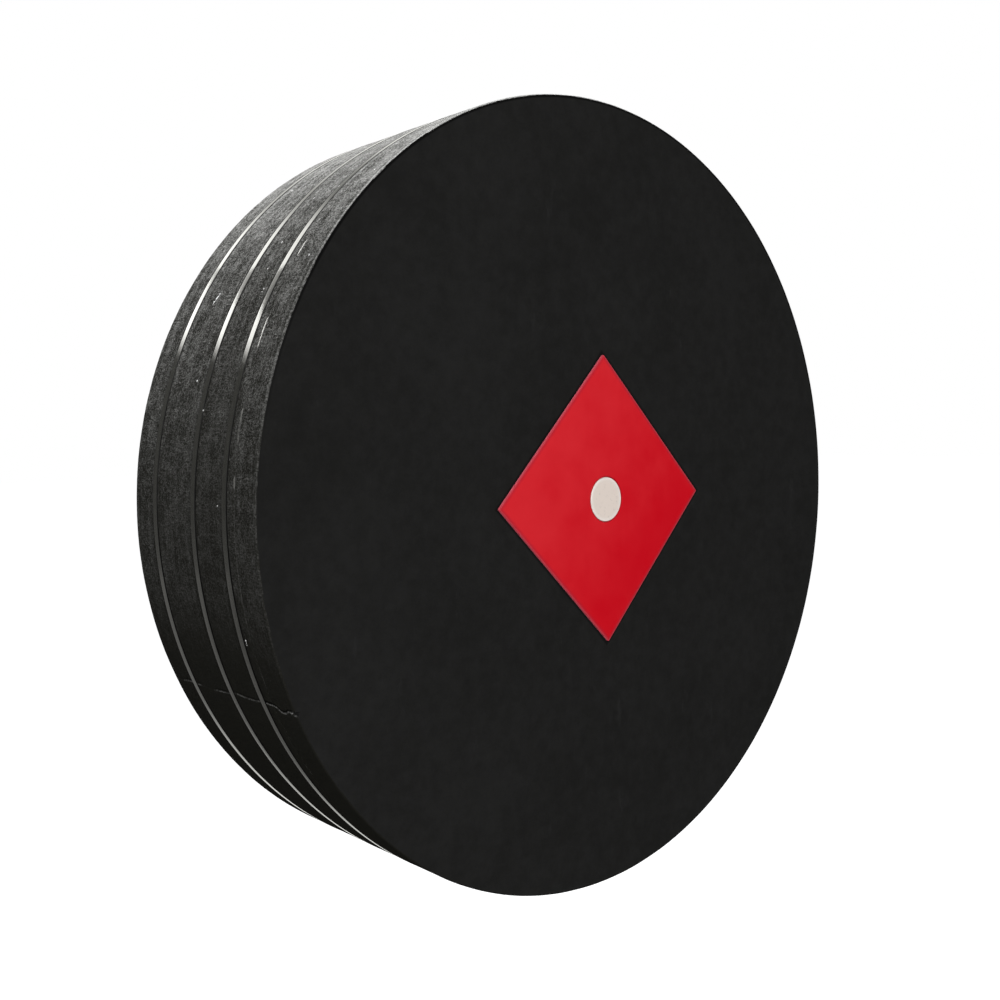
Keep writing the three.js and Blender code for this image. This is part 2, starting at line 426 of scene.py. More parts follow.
def ground_light(x, y, z):
    """What the lower half of the room adds: ground in the light of the window, and the foot of the wall."""
    lit_ground = (y + x * 1.1).ease(1.05, 1.65) * y.ease(2.1, 1.75)
    lit_ground = lit_ground * (0.70 + y.ease(1.45, 1.65) * 0.35)
    wall_foot = (x + z).ease(-2.30, -2.10) * z.ease(-0.50, -0.65) * y.ease(1.9, 2.05)
    return z.ease(0.0, -0.6) * (GROUND_LEVEL + lit_ground + wall_foot * WALL_FOOT_LEVEL)


# %% Cards that the straps mirror
ROOM_LEVEL = 0.20
CARD_COLOUR = (1.0, 0.997, 0.945, 1)
WALL_Y = 2.1
WALL_TOP = 5
WALL_HALF_WIDTH = 6
GROUND_Z = FLOOR_Z + 0.02
GROUND_FRONT_Y = 0.8
GROUND_HALF_WIDTH = 4


def mirrored_card(name, corners, finish):
    """A grey card that is seen in reflections only, and neither lights nor shades anything."""
    card = sheet_object(name, corners, finish)
    card.visible_camera = False
    card.visible_diffuse = False
    card.visible_shadow = False
    card.visible_transmission = False


card_grey, card_tree = new_material("card_grey")
card_x, card_y, card_z = card_tree.split(card_tree.add("ShaderNodeTexCoord")["Object"])
card_level = ROOM_LEVEL + window_light(card_tree, card_x, card_z)
card_level = card_level + ground_light(card_x, card_y, card_z)
card_light = card_tree.add("ShaderNodeEmission", {}, {"Color": CARD_COLOUR, "Strength": card_level})
card_tree.add("ShaderNodeOutputMaterial", {}, {"Surface": card_light})
wall_outline = ((-1, FLOOR_Z), (1, FLOOR_Z), (1, WALL_TOP), (-1, WALL_TOP))
wall_corners = [(side * WALL_HALF_WIDTH, WALL_Y, z) for side, z in wall_outline]
mirrored_card("wall_card", wall_corners, card_grey)
ground_outline = ((-1, GROUND_FRONT_Y), (1, GROUND_FRONT_Y), (1, WALL_Y), (-1, WALL_Y))
ground_corners = [(side * GROUND_HALF_WIDTH, y, GROUND_Z) for side, y in ground_outline]
mirrored_card("floor_card", ground_corners, card_grey)
print("cards:", len(card_tree.node_tree.nodes), "nodes")

# %% [markdown]
# ## Helpers for generated shapes
#
# A generated shape starts from a small source mesh that holds what its rule needs, such as a profile. A
# Geometry Nodes tree grows the shape from it. The result is taken as a plain mesh, so that nothing is left
# to work out later.


# %% Start and end a shape's tree
def new_shape_tree(title, counts=(), sizes=(), finishes=("Finish",)):
    """A Geometry Nodes tree with a geometry going in and out, and inputs with these names."""
    group = bpy.data.node_groups.new(title, "GeometryNodeTree")
    group.interface.new_socket("Geometry", in_out="INPUT", socket_type="NodeSocketGeometry")
    for kind, names in (("Int", counts), ("Float", sizes), ("Material", finishes)):
        for name in names:
            group.interface.new_socket(name, in_out="INPUT", socket_type="NodeSocket" + kind)
    group.interface.new_socket("Geometry", in_out="OUTPUT", socket_type="NodeSocketGeometry")
    tree = Tree(title, group)
    return tree, tree.add("NodeGroupInput")


def end_shape_tree(tree, geometry, finish, second_place=None, second_finish=None):
    """Realizes instances, sets the material, and a second one where it is wanted, and ends the tree."""
    real = tree.add("GeometryNodeRealizeInstances", {}, {"Geometry": geometry})
    dressed = tree.add("GeometryNodeSetMaterial", {}, {"Geometry": real, "Material": finish})
    if second_finish is not None:
        dressed = tree.add(
            "GeometryNodeSetMaterial",
            {},
            {"Geometry": dressed, "Selection": second_place, "Material": second_finish},
        )
    tree.add("NodeGroupOutput", {}, {0: dressed})
    print(f"{tree.title}: {len(tree.node_tree.nodes)} nodes")


def smooth_but_for_corners(tree, mesh, corner_degrees):
    """Smooth shading, with edges kept sharp where faces meet at more than this angle."""
    smooth = tree.add("GeometryNodeSetShadeSmooth", {"domain": "FACE"}, {"Geometry": mesh})
    bend = tree.add("GeometryNodeInputMeshEdgeAngle")["Unsigned Angle"]
    sharp = tree.maths("GREATER_THAN", bend, math.radians(corner_degrees))
    return tree.add(
        "GeometryNodeSetShadeSmooth",
        {"domain": "EDGE"},
        {"Geometry": smooth, "Selection": sharp, "Shade Smooth": False},
    )


# %% Grow a piece from a tree
def line_mesh(name, points, edges):
    """A source mesh of loose points and edges."""
    mesh = bpy.data.meshes.new(name)
    mesh.from_pydata(points, edges, [])
    return mesh


def grow(name, tree, source, values):
    """Runs a tree on a source mesh with these inputs, and returns the result as a plain object."""
    seedling = bpy.data.objects.new(name + "_source", source)
    scene.collection.objects.link(seedling)
    modifier = seedling.modifiers.new("shape", "NODES")
    modifier.node_group = tree.node_tree
    for item in tree.node_tree.interface.items_tree:
        if item.in_out == "INPUT" and item.name in values:
            modifier[item.identifier] = values[item.name]
    depsgraph = bpy.context.evaluated_depsgraph_get()
    mesh = bpy.data.meshes.new_from_object(seedling.evaluated_get(depsgraph))
    seedling.modifiers.clear()
    bpy.data.objects.remove(seedling)
    mesh.name = name
    piece = bpy.data.objects.new(name, mesh)
    scene.collection.objects.link(piece)
    return piece


# %% Measure a piece
CM3 = 1e-6


def measure(piece):
    """Prints how many triangles a piece has and the volume inside it, which is positive if it faces out."""
    mesh = piece.data
    mesh.calc_loop_triangles()
    places = np.empty(len(mesh.vertices) * 3)
    mesh.vertices.foreach_get("co", places)
    corners = np.empty(len(mesh.loop_triangles) * 3, np.int32)
    mesh.loop_triangles.foreach_get("vertices", corners)
    a, b, c = places.reshape(-1, 3)[corners.reshape(-1, 3)].transpose(1, 0, 2)
    volume = np.einsum("ij,ij->i", a, np.cross(b, c)).sum() / 6
    edge_uses = np.zeros(len(mesh.edges), np.int32)
    loop_edges = np.empty(len(mesh.loops), np.int32)
    mesh.loops.foreach_get("edge_index", loop_edges)
    np.add.at(edge_uses, loop_edges, 1)
    open_edges = int((edge_uses != 2).sum())
    print(f"{piece.name}: {len(corners) // 3} triangles, {volume / CM3:.1f} cm3, {open_edges} open edges")


# %% [markdown]
# ## Marks of the saw
#
# A stray saw line runs across the left of the rim, from the back edge to the front edge. It wanders by a few
# millimetres, fades in places, and ends in a torn nick. The groove is pressed into the shape, and the
# material colours its torn skin with a pale lip, partly a painted highlight, and a painted shadow beside it,
# so one function describes the marks for both trees. Two curves say where the line wanders and where it is
# strong, from the front face, at 0, to the back face, at 1.

# %% Saw marks
RIM_MARK_SIZES = {
    "Rim radius": BOSS_RADIUS,
    "Front Y": FRONT_Y,
    "Stack depth": -FRONT_Y,
    "Saw line angle": math.radians(202.2 - 360),
    "Saw line sway": 5 * MM,
    "Nick width": 3.2 * MM,
    "Nick length": 9 * MM,
}
SHIVER_SIZE = 3 * MM
SHIVER_REACH = 2 * MM
SKIPPED_SIZE = 6 * MM
TORN_SIZE = 1.6 * MM
SAW_LINE_SWAY = (
    (0.00, 0.51), (0.045, 0.38), (0.07, 0.62), (0.09, 0.69), (0.15, 0.25), (0.23, 0.24),
    (0.30, 0.40), (0.38, 0.40), (0.44, 0.33), (0.48, 0.57), (0.53, 0.62), (0.57, 0.67),
    (0.61, 0.74), (0.66, 0.84), (0.84, 0.74), (0.88, 0.78), (0.91, 0.88), (1.00, 0.96),
)
SAW_LINE_STRENGTH = (
    (0.00, 1.0), (0.22, 1.0), (0.26, 0.5), (0.45, 0.5), (0.49, 0.3), (0.52, 0.3), (0.54, 0.7), (0.61, 0.6),
    (0.63, 0.2), (0.66, 0.05), (0.74, 0.05), (0.77, 0.45), (0.90, 0.45), (0.93, 0.05), (1.00, 0.05),
)


def saw_marks(tree, spot, size):
    """How far a spot is below the saw line, how whole the line is there, and the nick from 0 to 1."""
    x, y, z = tree.split(spot)
    from_front = y - size["Front Y"]
    along = tree.stretch(spot, 0, 1, 0)
    share = from_front / size["Stack depth"]
    sway = (tree.curve(SAW_LINE_SWAY, share) - 0.5) * 2 * size["Saw line sway"]
    shiver = (tree.noise(along, SHIVER_SIZE) - 0.5) * SHIVER_REACH
    arc = (tree.maths("ARCTAN2", z, x) - size["Saw line angle"]) * size["Rim radius"]
    whole = tree.noise(along, SKIPPED_SIZE).ease(0.3, 0.5) * tree.curve(SAW_LINE_STRENGTH, share)
    ragged = tree.noise(spot, TORN_SIZE) * 1.2 + 0.4
    from_nick = tree.join(arc / size["Nick width"], from_front / size["Nick length"], 0.0)
    nick = (tree.vector("LENGTH", from_nick) / ragged).ease(1.0, 0.3)
    return arc - sway - shiver, whole, nick


# %% [markdown]
# ## Foam finishes
#
# Closed-cell foam is a froth of tiny bubbles with a matt black skin. The saw opens the bubbles on the rim,
# and dust settles in them. A pale grey is mixed into the rim, most of it near the top, where it is dust and
# also a painted sheen for the light that grazes the top of the rim from above and behind, and a little more
# towards the back. Two curves set how much, by height and by depth.
#
# A picture of foam would show its seam and its repeats on a rim this long, and would need unwrapping. Noise
# that is read from Object coordinates has none of these troubles, so every finish here is made of it.


# %% Finish helpers
def new_finish(name):
    """An empty material, as (material, tree, Object coordinates)."""
    material, tree = new_material(name)
    return material, tree, tree.add("ShaderNodeTexCoord")["Object"]


def end_finish(tree, values):
    """Ends a material in one Principled surface with these sockets set or linked."""
    surface = tree.add("ShaderNodeBsdfPrincipled", {}, values)
    tree.add("ShaderNodeOutputMaterial", {}, {"Surface": surface})
    print(f"{tree.title}: {len(tree.node_tree.nodes)} nodes")


def bump(tree, height, depth, strength=1.0):
    """A normal from a height of 0 to 1 that stands for this depth in metres."""
    return tree.add("ShaderNodeBump", {}, {"Strength": strength, "Distance": depth, "Height": height})


def grey(level, warmth=1.0):
    """A grey as a colour, a little warmer where warmth is under 1."""
    return (level, level, level * warmth, 1)


# %% Dust and painted sheen on the sawn rim
SAWN_DARK = (0.0122, 0.0120, 0.0100, 1)
DUST_AND_SHEEN_GREY = grey(0.34, 0.97)
# Pale grey by height: dust, and a painted sheen for the light grazing the top of the rim.
DUST_AND_SHEEN_BY_HEIGHT = (
    (0.00, 0.000), (0.30, 0.002), (0.36, 0.006), (0.43, 0.026), (0.50, 0.034), (0.57, 0.046),
    (0.64, 0.064), (0.71, 0.089), (0.77, 0.121), (0.82, 0.208), (0.87, 0.325), (0.93, 0.520), (1.00, 0.700),
)
DUST_AND_SHEEN_BY_DEPTH = (
    (0.00, 0.60), (0.15, 0.60), (0.25, 0.50), (0.45, 0.49), (0.53, 0.63), (0.75, 0.67), (0.84, 0.69),
    (1.00, 0.74),
)

sawn_foam, rim_tree, rim_spot = new_finish("sawn_foam")
_, rim_y, rim_z = rim_tree.split(rim_spot)
height_share = rim_z / BOSS_RADIUS
front_gap = rim_y - FRONT_Y
dust_and_sheen = rim_tree.curve(DUST_AND_SHEEN_BY_HEIGHT, height_share * 0.5 + 0.5)
depth_dust_and_sheen = rim_tree.curve(DUST_AND_SHEEN_BY_DEPTH, front_gap / -FRONT_Y) * 2 - 1
dust_and_sheen = dust_and_sheen * (1 + depth_dust_and_sheen * (1 - height_share.ease(0.3, 0.9) * 0.8))
print("dust from the bottom to the top of the rim:", DUST_AND_SHEEN_BY_HEIGHT[0][1], "to", DUST_AND_SHEEN_BY_HEIGHT[-1][1])

# %% [markdown]
# The walls of the opened bubbles catch the light as pale specks and winding lines. The blade tears some
# into short streaks across the rim and leaves faint bands round it. Each of these is a noise of its own
# size, and the spot that it is read at is squeezed so that a streak is long across the rim and a band is
# long round it. Their sum is the froth, which spreads the dust.

# %% Froth of the cut bubbles
BEND_SIZE = 6 * MM
BEND_REACH = 4 * MM
WORM_SIZE = 3.4 * MM
CLUSTER_SIZE = 8 * MM
CELL_SIZE = 1.7 * MM
SPECK_SIZE = 2.4 * MM
CUT_WIDTH = 2.4 * MM
CUT_FIELD_SIZE = 11 * MM
BAND_WIDTH = 5 * MM
PATCH_SIZE = 18 * MM
FROTH_MIDDLE = 0.95

bend = rim_tree.vector("SCALE", rim_tree.noise(rim_spot, BEND_SIZE)["Color"], BEND_REACH)
bent_spot = rim_tree.vector("ADD", rim_spot, bend)
worms = abs(rim_tree.noise(bent_spot, WORM_SIZE, 1.0) - 0.5).ease(0.08, 0.01)
clusters = rim_tree.noise(rim_spot, CLUSTER_SIZE, 2.0, 0.6).ease(0.40, 0.62)
cells = rim_tree.noise(rim_spot, CELL_SIZE, 2.0, 0.6)
specks = rim_tree.noise(rim_spot, SPECK_SIZE, 1.0).ease(0.60, 0.74)
cuts = abs(rim_tree.noise(rim_tree.stretch(rim_spot, 1, 0.14, 1), CUT_WIDTH) - 0.5).ease(0.06, 0.0)
cut_fields = rim_tree.noise(rim_tree.stretch(rim_spot, 1, 0.35, 1), CUT_FIELD_SIZE, 1.0)
cuts = cuts * cut_fields.ease(0.42, 0.62)
bands = rim_tree.noise(rim_tree.stretch(rim_spot, 0.04, 1, 0.04), BAND_WIDTH, 2.0, 0.6)
patches = rim_tree.noise(rim_spot, PATCH_SIZE, 2.0, 0.6)
froth = worms * clusters * 0.9 + cells.ease(0.38, 0.66) + cuts * 0.8 + specks * 0.9
froth = froth + patches.ease(0.3, 0.7) * 0.45 + bands.ease(0.3, 0.7) * 0.50 - 0.12
contrast = height_share.ease(0.95, 0.45) * 0.55 + 0.45
spread = rim_tree.maths("MAXIMUM", 1 + (froth - FROTH_MIDDLE) * contrast * 1.75, 0.15)
# Dust and painted sheen, spread by the froth.
rim_colour = rim_tree.mix(dust_and_sheen * spread, SAWN_DARK, DUST_AND_SHEEN_GREY)
print(f"froth of {CELL_SIZE / MM:.1f} mm cells and {WORM_SIZE / MM:.1f} mm worms")

# %% [markdown]
# Three things lie over the froth. The foam has painted shade beside each strap, where its seat is in shade,
# reaching a little further behind it than in front. The front edge has a pale band, strongest near the top: a
# painted highlight on its rounded edge, with some wear. The saw line is a pale lip, torn foam with a painted
# highlight, with a painted shadow as a dark gap above it, and torn foam shows in its nick.

# %% Seats with painted shade, front edge with painted highlight, and saw line on the rim
PAINTED_SHADE_DARK = (0.0035, 0.0035, 0.0030, 1)
SAW_LIP_AND_HIGHLIGHT_COLOUR = grey(0.16, 0.96)
TORN_FOAM = grey(0.55, 0.97)
SEAT_SHADE_SHIFT = 0.9 * MM
SEAT_SHADE_REACH = (2.0 * MM, 0.8 * MM)
BARE_EDGE_HIGHLIGHT_DEPTH = (2.4 * MM, 1.2 * MM)
BARE_EDGE_HIGHLIGHT_INSET = (1.7 * MM, 0.5 * MM)
SAW_LIP_OFF = 0.3 * MM
SAW_LIP_REACH = (1.2 * MM, 0.5 * MM)
SAW_SHADOW_OFF = 1.6 * MM
SAW_SHADOW_REACH = (1.3 * MM, 0.7 * MM)
RIM_RELIEF = 0.30 * MM

# Painted shade beside each strap, where its seat is in shade.
seat_gap = 1.0
for node in STRAP_NODES:
    from_strap = abs(rim_y - middle_depth(node) - SEAT_SHADE_SHIFT)
    seat_gap = rim_tree.maths("MINIMUM", seat_gap, from_strap)
seat_shade = seat_gap.ease(*(STRAP_WIDTH / 2 + reach for reach in SEAT_SHADE_REACH))
seat_level = 0.6 - height_share.ease(-0.1, 0.05) * 0.3 + height_share.ease(0.3, 0.42) * 0.7
seat_level = seat_level - height_share.ease(0.75, 0.95) * 0.6
rim_colour = rim_tree.mix(seat_shade * seat_level * 0.65, rim_colour, PAINTED_SHADE_DARK)

# Painted highlight on the rounded front edge, strongest near the top, with some wear.
edge_inset = BOSS_RADIUS - rim_tree.from_axis(rim_spot)
bare_edge_highlight = front_gap.ease(*BARE_EDGE_HIGHLIGHT_DEPTH) * edge_inset.ease(*BARE_EDGE_HIGHLIGHT_INSET)
wear_and_highlight_by_height = height_share.ease(-0.45, 0.0) * 0.03 + height_share.ease(0.0, 0.5) * 0.09
wear_and_highlight_by_height = wear_and_highlight_by_height + height_share.ease(0.45, 0.80) * 0.85
bare_edge_highlight = bare_edge_highlight * wear_and_highlight_by_height * (0.55 + cells.ease(0.4, 0.6) * 0.9)
rim_colour = rim_tree.mix(bare_edge_highlight, rim_colour, DUST_AND_SHEEN_GREY)

# Saw line: a pale lip, torn foam with a painted highlight, and a painted shadow above it.
saw_off, saw_whole, nick = saw_marks(rim_tree, rim_spot, RIM_MARK_SIZES)
saw_lip_and_highlight = abs(saw_off - SAW_LIP_OFF).ease(*SAW_LIP_REACH) * saw_whole
saw_shadow = abs(saw_off + SAW_SHADOW_OFF).ease(*SAW_SHADOW_REACH) * saw_whole
rim_colour = rim_tree.mix(saw_shadow * 0.9, rim_colour, PAINTED_SHADE_DARK)
rim_colour = rim_tree.mix(saw_lip_and_highlight * (0.25 + cells.ease(0.4, 0.6)) * 0.8, rim_colour, SAW_LIP_AND_HIGHLIGHT_COLOUR)
rim_colour = rim_tree.mix(nick * cells.ease(0.40, 0.52), rim_colour, TORN_FOAM)
end_finish(
    rim_tree,
    {
        "Base Color": rim_colour,
        "Roughness": 0.9,
        "Specular IOR Level": 0.0,
        "Normal": bump(rim_tree, froth, RIM_RELIEF),
    },
)

# %% [markdown]
# The front and back keep the smooth skin of the sheet: nearly black, faintly mottled, with a fine pebble that
# only shows in a low light, and a few soft scuffs. Painted shade darkens the skin at its upper edge, where it
# bends away, and a painted shadow darkens it close beside the aiming mark, wider on its right.

# %% Foam skin
SKIN_DARK = grey(0.0105, 0.95)
SKIN_LIGHT = grey(0.0150, 0.97)
SKIN_SCUFFED = grey(0.03)
SKIN_SHADED = grey(0.002)
PEBBLE_SIZE = 1.4 * MM
MOTTLE_SIZE = 12 * MM
CLOUD_SIZE = 120 * MM
SCUFF_SIZE = 30 * MM
EDGE_SHADE_INSETS = (4.5 * MM, 2.8 * MM)
MARK_SHADE_SHIFT = 2.5 * MM
MARK_SHADE_REACH = (3.6 * MM, 1.2 * MM)
SKIN_RELIEF = 0.12 * MM
COS_45 = 0.707

foam_skin, skin_tree, skin_spot = new_finish("foam_skin")
pebble = skin_tree.noise(skin_spot, PEBBLE_SIZE, 2.0, 0.6)
mottle = skin_tree.noise(skin_spot, MOTTLE_SIZE, 4.0, 0.6)
clouds = skin_tree.noise(skin_spot, CLOUD_SIZE)
scuffs = skin_tree.noise(skin_tree.stretch(skin_spot, 1, 1, 0.3), SCUFF_SIZE, 5.0, 0.7)
skin_mix = mottle * 0.5 + clouds * 0.3 + pebble * 0.2
skin_colour = skin_tree.mix(skin_mix.ease(0.3, 0.7), SKIN_DARK, SKIN_LIGHT)
skin_colour = skin_tree.mix(scuffs.ease(0.62, 0.75) * 0.25, skin_colour, SKIN_SCUFFED)
skin_x, skin_y, skin_z = skin_tree.split(skin_spot)
# Painted shade at the upper edge of the face.
edge_shade = skin_tree.from_axis(skin_spot).ease(*(BOSS_RADIUS - inset for inset in EDGE_SHADE_INSETS))
edge_shade = edge_shade * (skin_z / BOSS_RADIUS).ease(0.1, 0.6)
skin_colour = skin_tree.mix(edge_shade * 0.75, skin_colour, SKIN_SHADED)
# Painted shadow of the aiming mark on the skin, wider to the right.
mark_gap = (abs(skin_x) + abs(skin_z) - DIAMOND_HALF) * COS_45
mark_gap = mark_gap - skin_x.ease(-20 * MM, 20 * MM) * MARK_SHADE_SHIFT
mark_shade = mark_gap.ease(*MARK_SHADE_REACH) * skin_y.ease(FRONT_Y + 5 * MM, FRONT_Y + 1 * MM)
skin_colour = skin_tree.mix(mark_shade * 0.5, skin_colour, SKIN_SHADED)
end_finish(
    skin_tree,
    {
        "Base Color": skin_colour,
        "Roughness": mottle * 0.2 + 0.7,
        "Specular IOR Level": 0.0,
        "Normal": bump(skin_tree, pebble + mottle, SKIN_RELIEF),
    },
)

# %% [markdown]
# ## Foam discs
#
# Each disc was sawn from a sheet and then turned round with the rest, so its shape is one rule: a profile
# turned about the axis. A Screw modifier could turn it, but only in equal steps, and the saw line needs
# closer ones than the rest. Geometry Nodes turn it through any list of angles. The source mesh holds two
# lists, the profile's points as (radius, Y) and then the angles of the turn. A grid has a column for each
# angle and a row for each point of the profile, each grid point looks up its place, and the points that
# meet are merged.
#
# The profile has close rows on the rim, for its grain, and a few rings on the faces. Its edges are a round,
# a small bevel at the crease, or half of a strap's seat.

# %% Edges of a disc
EDGE_STEPS = 5
EDGE_TURNS = [math.pi / 2 * step / EDGE_STEPS for step in range(EDGE_STEPS + 1)]
FACE_EDGE_ROUND = 2.0 * MM
CREASE_BEVEL = 0.8 * MM
CREASE_BEVEL_SHARES = ((1.0, 0.0), (0.25, 0.6), (0.0, 1.3))
SEAT_SIDE_CLEARANCE = 0.4 * MM
SHOULDER_WIDTH = 1.6 * MM


def rounded_edge():
    """Quarter round from a flat face to the rim, as (radius, depth below the face)."""
    return [
        (BOSS_RADIUS - FACE_EDGE_ROUND * (1 - math.sin(turn)), FACE_EDGE_ROUND * (1 - math.cos(turn)))
        for turn in EDGE_TURNS
    ]


def crease_edge():
    """Small bevel where two sheets meet in a crease."""
    bevel = [(CREASE_BEVEL * inset, CREASE_BEVEL * depth) for inset, depth in CREASE_BEVEL_SHARES]
    return [(BOSS_RADIUS - inset, depth) for inset, depth in bevel]


def seat_edge():
    """Half of a strap's seat: its floor, and the shoulder that the foam swells up into beside it."""
    half_width = STRAP_WIDTH / 2 - HALF_JOINT + SEAT_SIDE_CLEARANCE
    rise = BOSS_RADIUS - SEAT_RADIUS
    shoulder = [
        (SEAT_RADIUS + rise * math.sin(turn), half_width + SHOULDER_WIDTH * (1 - math.cos(turn)))
        for turn in EDGE_TURNS
    ]
    return [(SEAT_RADIUS, 0.0), *shoulder]


DISC_EDGES = {
    "front_foam_sheet": (rounded_edge(), crease_edge()),
    "front_backing_sheet": (crease_edge(), seat_edge()),
    "second_foam_slab": (seat_edge(), seat_edge()),
    "third_foam_slab": (seat_edge(), seat_edge()),
    "back_foam_slab": (seat_edge(), rounded_edge()),
}
print(f"{len(rounded_edge())} points round an edge, {len(seat_edge())} down a seat")

# %% Profile of a disc
HOLDING_GAP = 0.3 * MM
RIM_ROW_STEP = 1.7 * MM
FACE_RING_SHARES = (0.0, 0.25, 0.5, 0.75, 0.93, 0.975)


def disc_profile(node, front_edge, back_edge):
    """Points (radius, Y) from the axis over the front face, the rim and the back face, to the axis."""
    front_y, back_y = depth_range(node)
    front_radius = front_edge[0][0] - HOLDING_GAP
    back_radius = back_edge[0][0] - HOLDING_GAP
    points = [(share * front_radius, front_y) for share in (*FACE_RING_SHARES, 1.0)]
    points += [(radius, front_y + depth) for radius, depth in front_edge]
    rim_start, rim_end = points[-1][1], back_y - back_edge[-1][1]
    rows = round((rim_end - rim_start) / RIM_ROW_STEP)
    points += [(BOSS_RADIUS, rim_start + (rim_end - rim_start) * row / rows) for row in range(1, rows)]
    points += [(radius, back_y - depth) for radius, depth in reversed(back_edge)]
    points += [(share * back_radius, back_y) for share in (1.0, *reversed(FACE_RING_SHARES))]
    return points


for node, edges in DISC_EDGES.items():
    print(f"{node}: {len(disc_profile(node, *edges))} points in its profile")

# %% [markdown]
# The angles of the turn are close together at the saw line, whose groove is narrow, and grow coarser away
# from it.

# %% Angles of the turn
FINEST_STEP = 0.45 * MM
COARSEST_STEP = 2.0 * MM
FINE_REACH = 8 * MM
STEP_GROWTH = 0.035


def turn_angles():
    """Angles of a whole turn that are close together at the saw line."""
    arcs = [0.0]
    while arcs[-1] < math.pi * BOSS_RADIUS:
        step = FINEST_STEP + STEP_GROWTH * max(0.0, arcs[-1] - FINE_REACH)
        arcs.append(arcs[-1] + min(step, COARSEST_STEP))
    half = [math.pi * arc / arcs[-1] for arc in arcs]
    middle = RIM_MARK_SIZES["Saw line angle"]
    return [middle - turn for turn in reversed(half)] + [middle + turn for turn in half[1:]]


TURN_ANGLES = turn_angles()
print(f"{len(TURN_ANGLES)} angles")


# %% Tree that turns a profile
def looked_up(tree, source, index, place):
    """The place of one point of the source mesh."""
    return tree.add(
        "GeometryNodeSampleIndex",
        {"data_type": "FLOAT_VECTOR", "domain": "POINT"},
        {"Geometry": source, "Value": place, "Index": index},
    )


def turned(tree, source, profile_points):
    """A closed mesh: the source's profile turned about the Y axis, through the source's angles."""
    total = tree.add("GeometryNodeAttributeDomainSize", {}, {"Geometry": source})["Point Count"]
    turns = total - profile_points
    grid = tree.add("GeometryNodeMeshGrid", {}, {"Vertices X": turns, "Vertices Y": profile_points})
    index = tree.add("GeometryNodeInputIndex")
    place = tree.add("GeometryNodeInputPosition")
    column = tree.maths("FLOOR", (index + 0.5) / profile_points)
    row = index - column * profile_points
    radius, depth, _ = tree.split(looked_up(tree, source, row, place))
    angle, _, _ = tree.split(looked_up(tree, source, column + profile_points, place))
    spot = tree.join(radius * tree.maths("COSINE", angle), depth, radius * tree.maths("SINE", angle))
    placed = tree.add("GeometryNodeSetPosition", {}, {"Geometry": grid, "Position": spot})
    merged = tree.add("GeometryNodeMergeByDistance", {}, {"Geometry": placed, "Distance": SAME_PLACE})
    return tree.add("GeometryNodeFlipFaces", {}, {"Mesh": merged})


# %% [markdown]
# The tree then presses the rim's points inwards: a fine grain from the cut cells, a slow wave from the
# blade, the saw line with its torn lips, and the nick. Bump in the material could show them too, but it
# would leave the rim's outline smooth, so only the froth is left to bump. The rim gets the finish of sawn
# foam, and the faces keep the skin.

# %% Tree of a sawn foam disc
DISC_SIZES = {
    **RIM_MARK_SIZES,
    "Grain size": 2.6 * MM,
    "Grain depth": 0.22 * MM,
    "Wave size": 45 * MM,
    "Wave depth": 0.5 * MM,
    "Saw line width": 1.5 * MM,
    "Saw line depth": 1.0 * MM,
    "Saw lip height": 0.2 * MM,
    "Nick depth": 2.4 * MM,
    "Nick root": 9 * MM,
}
PRESSED_RIM = (1.9 * MM, 1.1 * MM)
SAWN_RIM = 1.4 * MM
DISC_CORNER_DEGREES = 50

disc_tree, disc_in = new_shape_tree(
    "Sawn foam disc", ["Profile points"], DISC_SIZES, ["Rim finish", "Face finish"]
)
disc = turned(disc_tree, disc_in["Geometry"], disc_in["Profile points"])
spot = disc_tree.add("GeometryNodeInputPosition")
radius = disc_tree.from_axis(spot)
rim = disc_in["Rim radius"]
on_rim = radius.ease(*(rim - inset for inset in PRESSED_RIM))
grain = disc_tree.noise(spot, disc_in["Grain size"], 1.0)
wave = disc_tree.noise(disc_tree.stretch(spot, 1, 2.5, 1), disc_in["Wave size"], 1.0)
below, whole, nick = saw_marks(disc_tree, spot, disc_in)
off = abs(below)
half_width = disc_in["Saw line width"] / 2
groove = off.ease(half_width, 0.0) * disc_in["Saw line depth"] * whole
lip = off.ease(half_width * 3, half_width * 1.2) * off.ease(0.0, half_width) * disc_in["Saw lip height"]
inward = grain * disc_in["Grain depth"] + wave * disc_in["Wave depth"] + groove - lip * whole
inward = disc_tree.maths("MAXIMUM", inward, 0.0) * on_rim
inward = inward + nick * disc_in["Nick depth"] * radius.ease(rim - disc_in["Nick root"], rim)
shaded = smooth_but_for_corners(disc_tree, disc_tree.pressed_in(disc, spot, inward), DISC_CORNER_DEGREES)
is_sawn = disc_tree.maths("GREATER_THAN", radius, rim - SAWN_RIM)
end_shape_tree(disc_tree, shaded, disc_in["Face finish"], is_sawn, disc_in["Rim finish"])

# %% Make the discs
for node, edges in DISC_EDGES.items():
    profile = disc_profile(node, *edges)
    source_points = [(radius, y, 0) for radius, y in profile] + [(turn, 0, 0) for turn in TURN_ANGLES]
    piece = grow(
        "sawn_" + node,
        disc_tree,
        line_mesh(node + "_source", source_points, []),
        {
            "Profile points": len(profile),
            **DISC_SIZES,
            "Rim finish": sawn_foam,
            "Face finish": foam_skin,
        },
    )
    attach(piece, "root")
    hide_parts(node)
    measure(piece)

# %% [markdown]
# ## Straps
#
# Each strap is one length of plastic band, polished outside. Its finish is nearly black and a little warm,
# with fine lines along the band and specks of dust. Its cut edges stay matt and have a finish of their own: a
# darker black that is painted shade for the gap where the band sits in the foam, with a pale grey mixed in
# towards the top, partly the rim's dust and partly painted sheen.

# %% Strap finishes
STRAP_BLACK = grey(0.012, 0.80)
STRAP_DUST = grey(0.055, 0.88)
